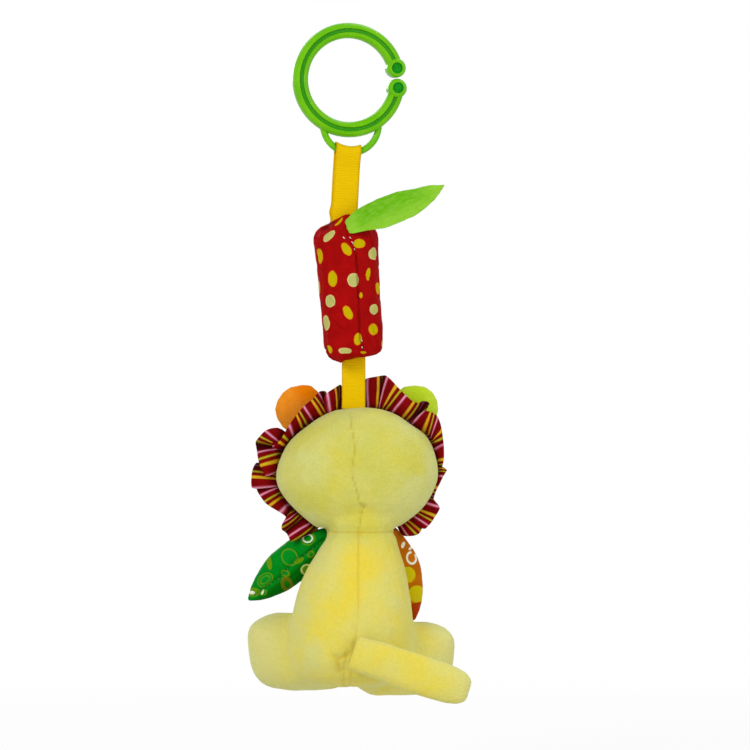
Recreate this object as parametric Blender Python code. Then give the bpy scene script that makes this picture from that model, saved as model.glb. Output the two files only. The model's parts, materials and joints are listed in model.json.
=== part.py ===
"""Plush lion rattle that hangs from a split ring, in metres with +Z up.

The origin is the top of the ring's inside, where the toy hangs. The lion's back faces -Y.
Every moving piece hangs under an empty that stands on its hinge.
"""

import math

import bmesh
import bpy
from mathutils import Quaternion, Vector

X_AXIS = Vector((1, 0, 0))
Y_AXIS = Vector((0, 1, 0))
Z_AXIS = Vector((0, 0, 1))

# Clearances shared by all pieces
SEAT_GAP = 0.0003
OVERRUN = 0.003

# Hanging ring
RING_INNER_R = 0.0234
RING_BAND = 0.0087
RING_DEPTH = 0.0086
RING_YAW = math.radians(13.0)
RING_ROLL = math.radians(3.0)
GROOVE_WIDTH = 0.0024
GROOVE_DEPTH = 0.0011
KNOB_R = 0.0054
KNOB_DEPTH = 0.0094
KNOB_EDGE = 0.0018
KNOB_GAP = 0.0006
DIMPLE_R = 0.0030
DIMPLE_DEPTH = 0.0009
LOOP_MID_R = 0.0160
LOOP_BAR_R = 0.0019
LOOP_DROP = 0.0247

# Ribbon straps
RIBBON_WIDTH = 0.0144
RIBBON_THICK = 0.0005
PLY_GAP = 0.0003
STRAP_SLIDE = math.radians(6.5)
STRAP_LEAN = math.radians(2.9)
STRAP_LENGTH = 0.0363
FOLD_TOP_ROOM = 0.0006
FOLD_SIDE_ROOM = 0.0010
FOLD_CLOSE = 0.0090
LOWER_RIBBON_WIDTH = 0.0132
LOWER_RIBBON_THICK = 0.0008
LOWER_STRAP_LENGTH = 0.0277

# Cloth sleeve
SLEEVE_LENGTH = 0.0791
SLEEVE_TILT = math.radians(3.7)
SLEEVE_TOP_R = 0.0178
SLEEVE_BASE_R = 0.0156
SLEEVE_FLATNESS_SHARE = 0.94
SHOULDER_DROP = 0.0130
CREST_DEPTH = 0.0024
CLOTH_THICK = 0.0010

# Chime inside the sleeve
CASE_R = 0.0115
CASE_WALL = 0.0012
CASE_TOP_DROP = 0.0150
CASE_LENGTH = 0.0560
CAP_THICK = 0.0016
CAP_SKIRT = 0.0030
CAP_SKIRT_WALL = 0.0010
LEDGE_WIDTH = 0.0009
LEDGE_HEIGHT = 0.0010
PLATE_THICK = 0.0020
ROD_R = 0.00125
ROD_PITCH_R = 0.0072
ROD_SEAT = 0.0012
ROD_LENGTHS = (0.0430, 0.0395, 0.0362, 0.0332)
STAPLE_MID_R = 0.0018
WIRE_R = 0.0006
EYE_MID_R = 0.0016
STRIKER_DROP = 0.0220
STRIKER_BALL_R = 0.0030

# Leaf at the sleeve's top
LEAF_LENGTH = 0.0595
LEAF_WIDTH = 0.0196
LEAF_THICK = 0.0022
LEAF_SAG = 0.0020
LEAF_RISE = math.radians(23.5)
LEAF_REACH = math.radians(7.0)
LEAF_ROOT_ROLL = math.radians(42.0)
LEAF_TIP_ROLL = math.radians(12.0)
LEAF_ROOT_SIDE = 0.0012
LEAF_ROOT_DROP = 0.0062

# Head
HEAD_WIDTH = 0.0905
HEAD_HEIGHT = 0.0690
HEAD_BACK_DEPTH = 0.0285
HEAD_FRONT_DEPTH = 0.0330
HEAD_SIDE_SHIFT = 0.0025
MUZZLE_WIDTH = 0.0340
MUZZLE_HEIGHT = 0.0230
MUZZLE_DEPTH = 0.0130
MUZZLE_DROP = 0.0440
NOSE_WIDTH = 0.0110
NOSE_HEIGHT = 0.0075
NOSE_DEPTH = 0.0060

# Mane
MANE_THICK = 0.0012
MANE_ROOT = 0.0040
MANE_HEIGHT = 0.0142
MANE_WAVE = 0.0030
MANE_SETBACK = 0.0018
MANE_FOLDS = 22
MANE_STRAP_LEAN = 0.0075
MANE_NECK_LEAN = 0.0048

# Ears
EAR_WIDTH = 0.0265
EAR_HEIGHT = 0.0270
EAR_THICK = 0.0130
EAR_SETBACK = 0.0140
EAR_SPREAD_LEFT = 0.0325
EAR_SPREAD_RIGHT = 0.0318
EAR_DROP = 0.0005

# Body
BODY_HEIGHT = 0.0850
BODY_WIDTH = 0.0700
BODY_DEPTH = 0.0620
BODY_SETBACK = -0.0078
NECK_RISE = 0.0090
BODY_TOP_SHIFT = 0.0043
BODY_BASE_SHIFT = -0.0010

# Limbs
ARM_LENGTH = 0.0546
ARM_WIDTH = 0.0225
ARM_THICK = 0.0180
ARM_LEFT_DROP = 0.0038
ARM_RIGHT_DROP = 0.0026
ARM_LEFT_DIRECTION = (-0.767, 0.212, -0.606)
ARM_RIGHT_DIRECTION = (0.225, 0.400, -0.888)
ARM_LEFT_SPREAD = 0.0211
ARM_RIGHT_SPREAD = 0.0175
ARM_ROOT_SETBACK = 0.0118
LEG_R_LEFT = 0.0214
LEG_R_RIGHT = 0.0204
LEG_LEFT_LENGTH = 0.0552
LEG_RIGHT_LENGTH = 0.0520
LEG_SPLAY = math.radians(55.0)
LEG_HIP_SPREAD = 0.0060
LEG_LEFT_LIFT = 0.0177
LEG_RIGHT_LIFT = 0.0137
TAIL_LENGTH = 0.0660
TAIL_WIDTH = 0.0205
TAIL_THICK = 0.0120
TAIL_LIFT = 0.0202
TAIL_DIP = math.radians(18.0)
TAIL_REACH = math.radians(6.0)
TAIL_ROOT_SHIFT = 0.0020

# Roundness of each section, where 2 is an ellipse and more is squarer
BAND_POWER = 2.6
SLEEVE_POWER = 2.3
LEAF_POWER = 1.6
PAD_POWER = 2.2
NECK_POWER = 2.1
TAIL_POWER = 2.6
HEAD_DOME_POWER = 0.85
PAD_POLE_POWER = 0.9

# Places of parts on each other, as shares of the named sizes
GROOVE_FLOOR_SHARE = 0.4
FULL_TURN_SHARE = 0.999
DIMPLE_FLOOR_SHARE = 0.9
BASE_EDGE_SHARE = 0.6
STEM_SHARE = 0.85
LEAF_EDGE_SHARE = 0.45
NOSE_OUT_SHARE = 0.86
NOSE_RISE_SHARE = 0.32
EAR_FOOT_SHARE = 0.42
EAR_FACE_SHARE = 0.30
TAIL_OUT_SHARE = 0.42
BODY_SHIFT_SHARE = 0.7
MANE_NECK_SHARE = 0.16
MANE_RIPPLE_SHARE = 0.07
MANE_SWAY_POWER = 1.3

# Places of the rings that each form is built from, as shares of its length
FOLD_SHARES = (0.35, 0.7, 1.0)
STRAP_SHARES = (0.3, 0.55, 0.8, 1.0)
MANE_SHARES = (0.0, 0.35, 0.7, 1.0)
BODY_RING_SHARES = (1.0, 0.97, 0.92, 0.84, 0.74, 0.63, 0.52, 0.41, 0.31, 0.22, 0.14, 0.07, 0.0)
NECK_RING_SHARES = ((0.6, 0.97), (1.0, 0.80))
LEG_RING_SHARES = (0.0, 0.15, 0.35, 0.6, 0.78, 0.88, 0.95, 0.985, 1.0)
TAIL_RING_SHARES = (0.0, 0.12, 0.3, 0.5, 0.7, 0.85, 0.94, 0.98, 1.0)

# Outline shares: each row is (place along, half size), both as shares of the named sizes
HEAD_OUTLINE_SHARES = (
    (0.0, 0.25),
    (0.02, 0.34),
    (0.09, 0.545),
    (0.187, 0.757),
    (0.293, 0.907),
    (0.40, 0.973),
    (0.50, 1.0),
    (0.62, 0.98),
    (0.763, 0.868),
    (0.845, 0.757),
    (0.94, 0.575),
    (1.0, 0.42),
)
MANE_HEIGHT_SHARES = (
    (0.0, 0.62),
    (0.03, 0.80),
    (0.07, 0.86),
    (0.105, 0.60),
    (0.125, 0.54),
    (0.155, 0.72),
    (0.185, 1.0),
    (0.21, 1.05),
    (0.24, 0.74),
    (0.265, 1.05),
    (0.285, 0.98),
    (0.31, 0.62),
    (0.36, 0.74),
    (0.40, 0.90),
    (0.44, 0.82),
    (0.48, 1.08),
    (0.52, 1.20),
    (0.55, 1.30),
    (0.575, 1.05),
    (0.60, 0.88),
    (0.63, 1.0),
    (0.655, 1.10),
    (0.68, 0.88),
    (0.71, 0.66),
    (0.74, 0.52),
    (0.77, 0.36),
    (0.80, 0.30),
    (0.83, 0.20),
    (0.86, 0.18),
    (0.88, 0.50),
    (0.90, 0.72),
    (0.94, 0.76),
    (0.97, 0.55),
    (1.0, 0.40),
)
BODY_WIDTH_SHARES = (
    (0.0, 0.535),
    (0.115, 0.630),
    (0.205, 0.745),
    (0.305, 0.835),
    (0.51, 0.950),
    (0.70, 1.0),
    (0.86, 0.94),
    (0.95, 0.78),
    (1.0, 0.54),
)
BODY_DEPTH_SHARES = (
    (0.0, 0.54),
    (0.115, 0.64),
    (0.205, 0.74),
    (0.305, 0.83),
    (0.51, 0.97),
    (0.70, 1.0),
    (0.86, 0.93),
    (0.95, 0.76),
    (1.0, 0.52),
)
ARM_SHARES = (
    (0.0, 0.30),
    (0.15, 0.66),
    (0.30, 0.91),
    (0.45, 1.0),
    (0.60, 0.94),
    (0.75, 0.76),
    (0.88, 0.48),
    (0.96, 0.24),
    (1.0, 0.08),
)
LEAF_SHARES = (
    (0.0, 0.50),
    (0.10, 0.72),
    (0.20, 0.88),
    (0.35, 0.98),
    (0.45, 1.0),
    (0.60, 0.89),
    (0.75, 0.70),
    (0.87, 0.44),
    (0.95, 0.20),
    (1.0, 0.05),
)
LEG_SHARES = (
    (0.0, 0.80),
    (0.12, 0.95),
    (0.35, 1.0),
    (0.70, 1.0),
    (0.86, 0.95),
    (0.95, 0.80),
    (1.0, 0.55),
)
TAIL_SHARES = (
    (0.0, 0.90),
    (0.20, 0.96),
    (0.70, 1.0),
    (0.88, 0.95),
    (0.96, 0.78),
    (1.0, 0.50),
)
SLEEVE_DOME_SHARES = (
    (0.0, 0.46, 0.0),
    (0.10, 0.60, 0.16),
    (0.28, 0.74, 0.40),
    (0.52, 0.88, 0.68),
    (0.78, 0.97, 0.90),
    (1.0, 1.0, 1.0),
)

RING_MID_R = RING_INNER_R + RING_BAND / 2
STRAP_END_R = RIBBON_THICK + PLY_GAP / 2
LOWER_END_R = LOWER_RIBBON_THICK / 2
CASE_INNER_R = CASE_R - CASE_WALL


def clear_scene():
    for thing in list(bpy.data.objects):
        bpy.data.objects.remove(thing)


def material(name, colour, roughness, metallic=0.0):
    made = bpy.data.materials.new(name)
    made.use_nodes = True
    shader = made.node_tree.nodes["Principled BSDF"]
    shader.inputs["Base Color"].default_value = (*colour, 1)
    shader.inputs["Roughness"].default_value = roughness
    shader.inputs["Metallic"].default_value = metallic
    return made


def pivot(name, place, parent=None):
    """An empty on a hinge. Its place is given in the world."""
    empty = bpy.data.objects.new(name, None)
    bpy.context.collection.objects.link(empty)
    hang(empty, parent, place)
    return empty


def hang(thing, parent, place):
    """Parents an object to an unturned empty and puts it at a place in the world."""
    thing.parent = parent
    thing.location = place
    upper = parent
    while upper is not None:
        thing.location -= upper.location
        upper = upper.parent


def solid(name, points, faces, finish, parent=None, place=(0, 0, 0), turn=None):
    """One closed, smooth-shaded mesh object with its faces pointing out."""
    mesh = bpy.data.meshes.new(name)
    mesh.from_pydata([tuple(point) for point in points], [], faces)
    work = bmesh.new()
    work.from_mesh(mesh)
    bmesh.ops.recalc_face_normals(work, faces=work.faces)
    work.to_mesh(mesh)
    work.free()
    mesh.shade_smooth()
    mesh.set_sharp_from_angle(angle=math.radians(50))
    if finish is not None:
        mesh.materials.append(finish)
    made = bpy.data.objects.new(name, mesh)
    bpy.context.collection.objects.link(made)
    hang(made, parent, Vector(place))
    if turn is not None:
        made.rotation_mode = "QUATERNION"
        made.rotation_quaternion = turn
    return made


def helper(made):
    """Marks a cutter or an added shape, which is only seen through the piece that uses it."""
    made.hide_render = True
    made.display_type = "WIRE"
    return made


def combine(target, other, operation):
    step = target.modifiers.new(operation.title(), "BOOLEAN")
    step.operation = operation
    step.object = helper(other)
    step.solver = "EXACT"


def curve_value(shares, place):
    """A smooth curve through rows of (place, value), read at a place."""
    rows = [(row[0], row[1]) for row in shares]
    if place <= rows[0][0]:
        return rows[0][1]
    for index in range(len(rows) - 1):
        (start, first), (end, last) = rows[index], rows[index + 1]
        if place <= end:
            break
    else:
        return rows[-1][1]
    before = rows[max(index - 1, 0)]
    after = rows[min(index + 2, len(rows) - 1)]
    width = end - start
    leave = (last - before[1]) / (end - before[0]) * width
    arrive = (after[1] - first) / (after[0] - start) * width
    t = (place - start) / width
    return (
        (2 * t**3 - 3 * t**2 + 1) * first
        + (t**3 - 2 * t**2 + t) * leave
        + (3 * t**2 - 2 * t**3) * last
        + (t**3 - t**2) * arrive
    )


def oval(centre, across, up, half_across, half_up, power, count):
    """Points round a superellipse in the plane of two unit vectors."""
    points = []
    for step in range(count):
        angle = math.tau * step / count
        c, s = math.cos(angle), math.sin(angle)
        u = math.copysign(abs(c) ** (2 / power), c) * half_across
        v = math.copysign(abs(s) ** (2 / power), s) * half_up
        points.append(Vector(centre) + across * u + up * v)
    return points


def skin(rings, closed=False, start_tip=None, end_tip=None):
    """Faces over rings of as many points each, closed by tips or flat ends, or by joining last to first."""
    count = len(rings[0])
    points = [point for ring in rings for point in ring]
    faces = []
    spans = len(rings) if closed else len(rings) - 1
    for row in range(spans):
        near, far = row * count, (row + 1) % len(rings) * count
        for step in range(count):
            after = (step + 1) % count
            faces.append((near + step, near + after, far + after, far + step))
    if closed:
        return points, faces
    for tip, first in ((start_tip, 0), (end_tip, len(points) - count)):
        ring = list(range(first, first + count))
        if tip is None:
            faces.append(tuple(ring))
            continue
        points.append(tip)
        faces += [(ring[step], ring[(step + 1) % count], len(points) - 1) for step in range(count)]
    return points, faces


def turned(profile, count, up=Z_AXIS, closed=False):
    """A profile of (radius, height) pairs turned round an axis through zero."""
    across = X_AXIS if up is not X_AXIS else Y_AXIS
    other = up.cross(across)
    rings = [oval(up * height, across, other, radius, radius, 2, count) for radius, height in profile]
    return skin(rings, closed=closed)


def arc_tube(mid_r, bar_r, start, end, steps, sides, centre=(0, 0, 0)):
    """A round bar bent to an arc in the XZ plane. A full turn closes on itself."""
    full = end - start > math.tau * FULL_TURN_SHARE
    rings = []
    for step in range(steps if full else steps + 1):
        angle = start + (end - start) * step / steps
        outward = Vector((math.cos(angle), 0, math.sin(angle)))
        rings.append(oval(Vector(centre) + outward * mid_r, outward, Y_AXIS, bar_r, bar_r, 2, sides))
    return skin(rings, closed=full)


def rounded_rim(radius, half, edge, steps=3):
    """(radius, height) points of a drum's side with rounded edges, from low to high."""
    points = []
    for sign in (-1, 1):
        arc = []
        for step in range(steps + 1):
            angle = math.pi / 2 * step / steps
            height = half - edge + edge * math.cos(angle)
            arc.append((radius - edge + edge * math.sin(angle), sign * height))
        points += arc if sign < 0 else arc[::-1]
    return points


# Ring


def ring_band():
    """The band's section, with its groove on the face towards -Y, spun from knob to knob."""
    power = BAND_POWER
    half_band, half_depth = RING_BAND / 2, RING_DEPTH / 2
    lip = math.asin((GROOVE_WIDTH / 2 / half_band) ** (power / 2))
    section = []
    steps = 14
    for step in range(steps + 1):
        angle = -math.pi / 2 + lip + (math.tau - 2 * lip) * step / steps
        c, s = math.cos(angle), math.sin(angle)
        across = math.copysign(abs(c) ** (2 / power), c) * half_band
        section.append((across, math.copysign(abs(s) ** (2 / power), s) * half_depth))
    floor = GROOVE_WIDTH * GROOVE_FLOOR_SHARE
    section += [(-floor, GROOVE_DEPTH - half_depth), (floor, GROOVE_DEPTH - half_depth)]
    start = knob_angle()
    turns = 54
    rings = []
    for step in range(turns + 1):
        angle = start + (math.tau - 2 * start) * step / turns
        outward = Vector((math.cos(angle), 0, math.sin(angle)))
        rings.append([outward * (RING_MID_R + across) + Y_AXIS * depth for across, depth in section])
    return skin(rings)


def knob_angle():
    return math.asin((KNOB_R + KNOB_GAP / 2) / RING_MID_R)


def knob():
    """A drum with a dimple in the face towards -Y."""
    half = KNOB_DEPTH / 2
    profile = [(DIMPLE_R * DIMPLE_FLOOR_SHARE, DIMPLE_DEPTH - half), (DIMPLE_R, -half)]
    profile += rounded_rim(KNOB_R, half, KNOB_EDGE)
    return turned(profile, 20, up=Y_AXIS)


def loop_half_angle():
    """Where the loop's round bar meets the middle of the band, above its own centre's level."""
    reach = RING_MID_R**2 - LOOP_DROP**2 - LOOP_MID_R**2
    return math.asin(-reach / (2 * LOOP_DROP * LOOP_MID_R))


def ring_turn():
    return Quaternion(Z_AXIS, RING_YAW) @ Quaternion(Y_AXIS, -RING_ROLL)


def ring_centre():
    return Vector((0, 0, -RING_INNER_R))


def make_ring(finish):
    def add(name, shape):
        return solid(name, *shape, finish, place=ring_centre(), turn=ring_turn())

    ring = add("hang_ring", ring_band())
    for name, angle in (("knob_upper", knob_angle()), ("knob_lower", -knob_angle())):
        points, faces = knob()
        shift = Vector((math.cos(angle), 0, math.sin(angle))) * RING_MID_R
        combine(ring, add(name, ([point + shift for point in points], faces)), "UNION")
    rise = loop_half_angle()
    bar = arc_tube(LOOP_MID_R, LOOP_BAR_R, math.pi - rise, math.tau + rise, 22, 10, (0, 0, -LOOP_DROP))
    combine(ring, add("strap_loop", bar), "UNION")
    return ring


# Straps


def bar_under_strap():
    """World place of the middle of the loop's bar where the strap hangs."""
    loop = ring_centre() + ring_turn() @ Vector((0, 0, -LOOP_DROP))
    down = Vector((-math.sin(STRAP_SLIDE), 0, -math.cos(STRAP_SLIDE))) * LOOP_MID_R
    return loop + Quaternion(Z_AXIS, RING_YAW) @ down


def bar_direction():
    along = Vector((math.cos(STRAP_SLIDE), 0, -math.sin(STRAP_SLIDE)))
    return Quaternion(Z_AXIS, RING_YAW) @ along


def bar_rise(side):
    """How far the bent bar has risen at a distance to one side of the strap's middle."""
    return LOOP_MID_R - math.sqrt(LOOP_MID_R**2 - side**2)


def strap_hinge():
    """The strap turns about the mean height of the bent bar inside its fold."""
    return bar_under_strap() + Z_AXIS * bar_rise(RIBBON_WIDTH / 2) / 2


def sleeve_hinge():
    lean = Vector((-math.sin(STRAP_LEAN), 0, -math.cos(STRAP_LEAN)))
    return bar_under_strap() + lean * STRAP_LENGTH


def sleeve_turn():
    return Quaternion(Y_AXIS, -SLEEVE_TILT)


def lower_hinge():
    return sleeve_hinge() + sleeve_turn() @ Vector((0, 0, -SLEEVE_LENGTH))


def lion_hinge():
    return lower_hinge() - Z_AXIS * LOWER_STRAP_LENGTH


def fold_path():
    """The doubled ribbon's closed path as (offset, distance down, share of the fold's bend)."""
    side = LOOP_BAR_R + FOLD_SIDE_ROOM + RIBBON_THICK / 2
    top = LOOP_BAR_R + FOLD_TOP_ROOM + RIBBON_THICK / 2
    ply = (PLY_GAP + RIBBON_THICK) / 2
    front = []
    for step in range(5):
        angle = math.pi / 2 * (1 - step / 4)
        front.append((side * math.cos(angle), -top * math.sin(angle), 1))
    for share in FOLD_SHARES:
        ease = (1 - math.cos(math.pi * share)) / 2
        front.append((side + (ply - side) * ease, FOLD_CLOSE * share, 1 - share))
    for share in STRAP_SHARES:
        front.append((ply, FOLD_CLOSE + (STRAP_LENGTH - FOLD_CLOSE) * share, 0))
    front.append((ply * math.sqrt(0.5), STRAP_LENGTH + ply * math.sqrt(0.5), 0))
    bottom = [(0, STRAP_LENGTH + ply, 0)]
    back = [(-offset, down, bend) for offset, down, bend in front[:0:-1]]
    return front + bottom + back


def sheet(rows, thick, closed=False):
    """A thin solid on a grid of points, half its thickness to each side."""
    last = len(rows) - 1
    width = len(rows[0])
    rings = []
    for index, row in enumerate(rows):
        ahead = rows[(index + 1) % len(rows) if closed else min(index + 1, last)]
        behind = rows[index - 1 if closed else max(index - 1, 0)]
        upper, lower = [], []
        for place, point in enumerate(row):
            along = ahead[place] - behind[place]
            across = row[min(place + 1, width - 1)] - row[max(place - 1, 0)]
            normal = along.cross(across).normalized() * thick / 2
            upper.append(point + normal)
            lower.append(point - normal)
        rings.append(upper + lower[::-1])
    points, faces = skin(rings, closed=closed)
    if not closed:
        del faces[-2:]
        for first in (0, len(points) - 2 * width):
            for step in range(width - 1):
                far = first + 2 * width - 1 - step
                faces.append((first + step, first + step + 1, far - 1, far))
    return points, faces


def make_upper_strap(finish, parent):
    top, bottom = bar_under_strap(), sleeve_hinge()
    down = (bottom - top).normalized()
    start, end = bar_direction(), sleeve_turn() @ X_AXIS
    rows = []
    for offset, distance, bend in fold_path():
        share = min(max(distance / STRAP_LENGTH, 0), 1)
        wide = start.lerp(end, share).normalized()
        facing = wide.cross(down).normalized()
        middle = top + down * distance + facing * offset
        row = []
        for step in range(-2, 3):
            side = RIBBON_WIDTH / 2 * step / 2
            row.append(middle + wide * side - down * bar_rise(side) * bend - strap_hinge())
        rows.append(row)
    return solid("upper_strap", *sheet(rows, RIBBON_THICK, closed=True), finish, parent, strap_hinge())


def make_lower_strap(finish, parent):
    """A flat ribbon with a round end on each hinge line. The upper one follows the sleeve's tilt."""
    rings = []
    for side in (-LOWER_RIBBON_WIDTH / 2, LOWER_RIBBON_WIDTH / 2):
        ring = []
        for centre, start in ((side * math.tan(SLEEVE_TILT), 0), (-LOWER_STRAP_LENGTH, math.pi)):
            for step in range(5):
                angle = start + math.pi * step / 4
                depth, rise = LOWER_END_R * math.cos(angle), LOWER_END_R * math.sin(angle)
                ring.append(Vector((side, depth, centre + rise)))
        rings.append(ring)
    return solid("lower_strap", *skin(rings), finish, parent, lower_hinge())


# Sleeve, in its own frame: its origin is the upper hinge and its axis runs down -Z


def sleeve_radius(height):
    shoulder, foot = -SHOULDER_DROP, -SLEEVE_LENGTH
    share = min(max((shoulder - height) / (shoulder - foot), 0), 1)
    return SLEEVE_TOP_R + (SLEEVE_BASE_R - SLEEVE_TOP_R) * share


def sleeve_oval(height, inset=0.0, count=28):
    radius = sleeve_radius(height)
    depth = radius * SLEEVE_FLATNESS_SHARE
    return oval((0, 0, height), X_AXIS, Y_AXIS, radius - inset, depth - inset, SLEEVE_POWER, count)


def base_panel_low():
    return -SLEEVE_LENGTH + LOWER_END_R + SEAT_GAP


def cover_low():
    return base_panel_low() + CLOTH_THICK + SEAT_GAP


def levels(low, high, steps):
    return [low + (high - low) * step / steps for step in range(steps + 1)]


def add_sleeve_piece(name, shape, finish, parent):
    return solid(name, *shape, finish, parent, sleeve_hinge(), sleeve_turn())


def make_sleeve_cover(finish, parent):
    heights = levels(cover_low(), -SHOULDER_DROP - SEAT_GAP, 5)
    rings = [sleeve_oval(height) for height in heights]
    rings += [sleeve_oval(height, CLOTH_THICK) for height in heights[::-1]]
    return add_sleeve_piece("sleeve_cover", skin(rings, closed=True), finish, parent)


def make_sleeve_top(finish, parent):
    """A dome that narrows to a crest as long as the strap is wide."""
    high = -STRAP_END_R - SEAT_GAP
    full = SLEEVE_TOP_R * SLEEVE_FLATNESS_SHARE
    outer, inner = [], []
    for drop, wide, deep in SLEEVE_DOME_SHARES:
        height = high - (SHOULDER_DROP + high) * drop
        depth = CREST_DEPTH + (full - CREST_DEPTH) * deep
        across = SLEEVE_TOP_R * wide
        outer.append(oval((0, 0, height), X_AXIS, Y_AXIS, across, depth, SLEEVE_POWER, 28))
        lower = height - CLOTH_THICK * (1 - drop)
        across, depth = across - CLOTH_THICK, depth - CLOTH_THICK
        inner.append(oval((0, 0, lower), X_AXIS, Y_AXIS, across, depth, SLEEVE_POWER, 28))
    return add_sleeve_piece("sleeve_top", skin(outer + inner[::-1]), finish, parent)


def make_sleeve_base(finish, parent):
    low = base_panel_low()
    edge = CLOTH_THICK * BASE_EDGE_SHARE
    rings = [sleeve_oval(low, edge), sleeve_oval(low + edge), sleeve_oval(low + CLOTH_THICK)]
    return add_sleeve_piece("sleeve_base", skin(rings), finish, parent)


def make_wadding(finish, parent):
    heights = levels(base_panel_low() + CLOTH_THICK + SEAT_GAP, -CASE_TOP_DROP, 3)
    bore = CASE_R + SEAT_GAP
    rings = [sleeve_oval(height, CLOTH_THICK + SEAT_GAP, 24) for height in heights]
    rings += [oval((0, 0, height), X_AXIS, Y_AXIS, bore, bore, 2, 24) for height in heights[::-1]]
    return add_sleeve_piece("sleeve_wadding", skin(rings, closed=True), finish, parent)


# Chime


def plate_top():
    return -CASE_TOP_DROP - CAP_SKIRT - SEAT_GAP


def striker_height():
    """Height of the staple's lowest wire, where the striker's eye hangs."""
    return plate_top() - PLATE_THICK - EYE_MID_R - WIRE_R - SEAT_GAP


def make_case(finish, parent):
    top, low = -CASE_TOP_DROP, -CASE_TOP_DROP - CASE_LENGTH
    ledge = plate_top() - PLATE_THICK - SEAT_GAP
    edge = CASE_WALL / 2
    profile = [
        (CASE_R - edge, low),
        (CASE_R, low + edge),
        (CASE_R, top),
        (CASE_INNER_R, top),
        (CASE_INNER_R, ledge),
        (CASE_INNER_R - LEDGE_WIDTH, ledge),
        (CASE_INNER_R - LEDGE_WIDTH, ledge - LEDGE_HEIGHT / 2),
        (CASE_INNER_R, ledge - LEDGE_HEIGHT),
        (CASE_INNER_R, low + CASE_WALL),
    ]
    return add_sleeve_piece("chime_case", turned(profile, 24), finish, parent)


def make_cap(finish, parent):
    seat = -CASE_TOP_DROP + SEAT_GAP
    skirt = CASE_INNER_R - SEAT_GAP
    edge = CAP_THICK / 3
    profile = [
        (CASE_R - edge, seat + CAP_THICK),
        (CASE_R, seat + CAP_THICK - edge),
        (CASE_R, seat),
        (skirt, seat),
        (skirt, -CASE_TOP_DROP - CAP_SKIRT),
        (skirt - CAP_SKIRT_WALL, -CASE_TOP_DROP - CAP_SKIRT),
        (skirt - CAP_SKIRT_WALL, seat),
    ]
    return add_sleeve_piece("chime_cap", turned(profile, 24), finish, parent)


def rod_place(index):
    angle = math.tau * index / len(ROD_LENGTHS)
    return Vector((math.cos(angle), math.sin(angle), 0)) * ROD_PITCH_R


def make_plate(finish, parent):
    """A disc with a blind seat for each rod and a wire staple under its middle."""
    low = plate_top() - PLATE_THICK
    radius = CASE_INNER_R - SEAT_GAP
    disc = turned([(radius, low), (radius, plate_top())], 24)
    plate = add_sleeve_piece("chime_plate", disc, finish, parent)
    for index in range(len(ROD_LENGTHS)):
        bore = ROD_R + SEAT_GAP
        points, faces = turned([(bore, low - OVERRUN), (bore, low + ROD_SEAT)], 10)
        seat = ([point + rod_place(index) for point in points], faces)
        combine(plate, add_sleeve_piece(f"rod_seat_{index + 1}", seat, None, parent), "DIFFERENCE")
    bend = striker_height() + STAPLE_MID_R
    leg_top = low + PLATE_THICK / 2
    path = [(-STAPLE_MID_R, leg_top), (-STAPLE_MID_R, bend)]
    for step in range(1, 6):
        angle = math.pi + math.pi * step / 6
        path.append((STAPLE_MID_R * math.cos(angle), bend + STAPLE_MID_R * math.sin(angle)))
    path += [(STAPLE_MID_R, bend), (STAPLE_MID_R, leg_top)]
    staple = add_sleeve_piece("staple", bar_along(path, WIRE_R, 8), None, parent)
    combine(plate, staple, "UNION")
    return plate


def bar_along(path, bar_r, sides):
    """A round bar through (across, height) points of the XZ plane."""
    places = [Vector((across, 0, height)) for across, height in path]
    rings = []
    for index, place in enumerate(places):
        along = places[min(index + 1, len(places) - 1)] - places[max(index - 1, 0)]
        outward = along.normalized().cross(Y_AXIS)
        rings.append(oval(place, outward, Y_AXIS, bar_r, bar_r, 2, sides))
    return skin(rings)


def make_rod(index, finish, parent):
    top = plate_top() - PLATE_THICK + ROD_SEAT - SEAT_GAP
    edge = ROD_R / 4
    low = top - ROD_LENGTHS[index]
    profile = [(ROD_R - edge, low), (ROD_R, low + edge), (ROD_R, top)]
    points, faces = turned(profile, 10)
    shape = ([point + rod_place(index) for point in points], faces)
    return add_sleeve_piece(f"chime_rod_{index + 1}", shape, finish, parent)


def striker_hinge():
    return sleeve_hinge() + sleeve_turn() @ Vector((0, 0, striker_height()))


def make_striker(finish, parent):
    """A ball on a wire, with an eye that links through the staple."""
    stem = WIRE_R * STEM_SHARE
    profile = [(stem, -EYE_MID_R)]
    reach = math.asin(stem / STRIKER_BALL_R)
    for step in range(8):
        angle = reach + (math.pi - 2 * reach) * step / 7
        height = -STRIKER_DROP + STRIKER_BALL_R * math.cos(angle)
        profile.append((STRIKER_BALL_R * math.sin(angle), height))
    striker = solid("striker", *turned(profile, 12), finish, parent, striker_hinge(), sleeve_turn())
    eye_turn = sleeve_turn() @ Quaternion(Z_AXIS, math.radians(90))
    ring = arc_tube(EYE_MID_R, WIRE_R, 0, math.tau, 16, 8)
    combine(striker, solid("striker_eye", *ring, None, parent, striker_hinge(), eye_turn), "UNION")
    return striker


# Leaf


def leaf_root():
    """World place of the middle of the leaf's sewn edge, just outside the dome."""
    share = LEAF_ROOT_DROP / SHOULDER_DROP
    deep = curve_value([(row[0], row[2]) for row in SLEEVE_DOME_SHARES], share)
    full = SLEEVE_TOP_R * SLEEVE_FLATNESS_SHARE
    out = CREST_DEPTH + (full - CREST_DEPTH) * deep + LEAF_THICK / 2 + SEAT_GAP
    return sleeve_hinge() + sleeve_turn() @ Vector((LEAF_ROOT_SIDE, -out, -LEAF_ROOT_DROP))


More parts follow.
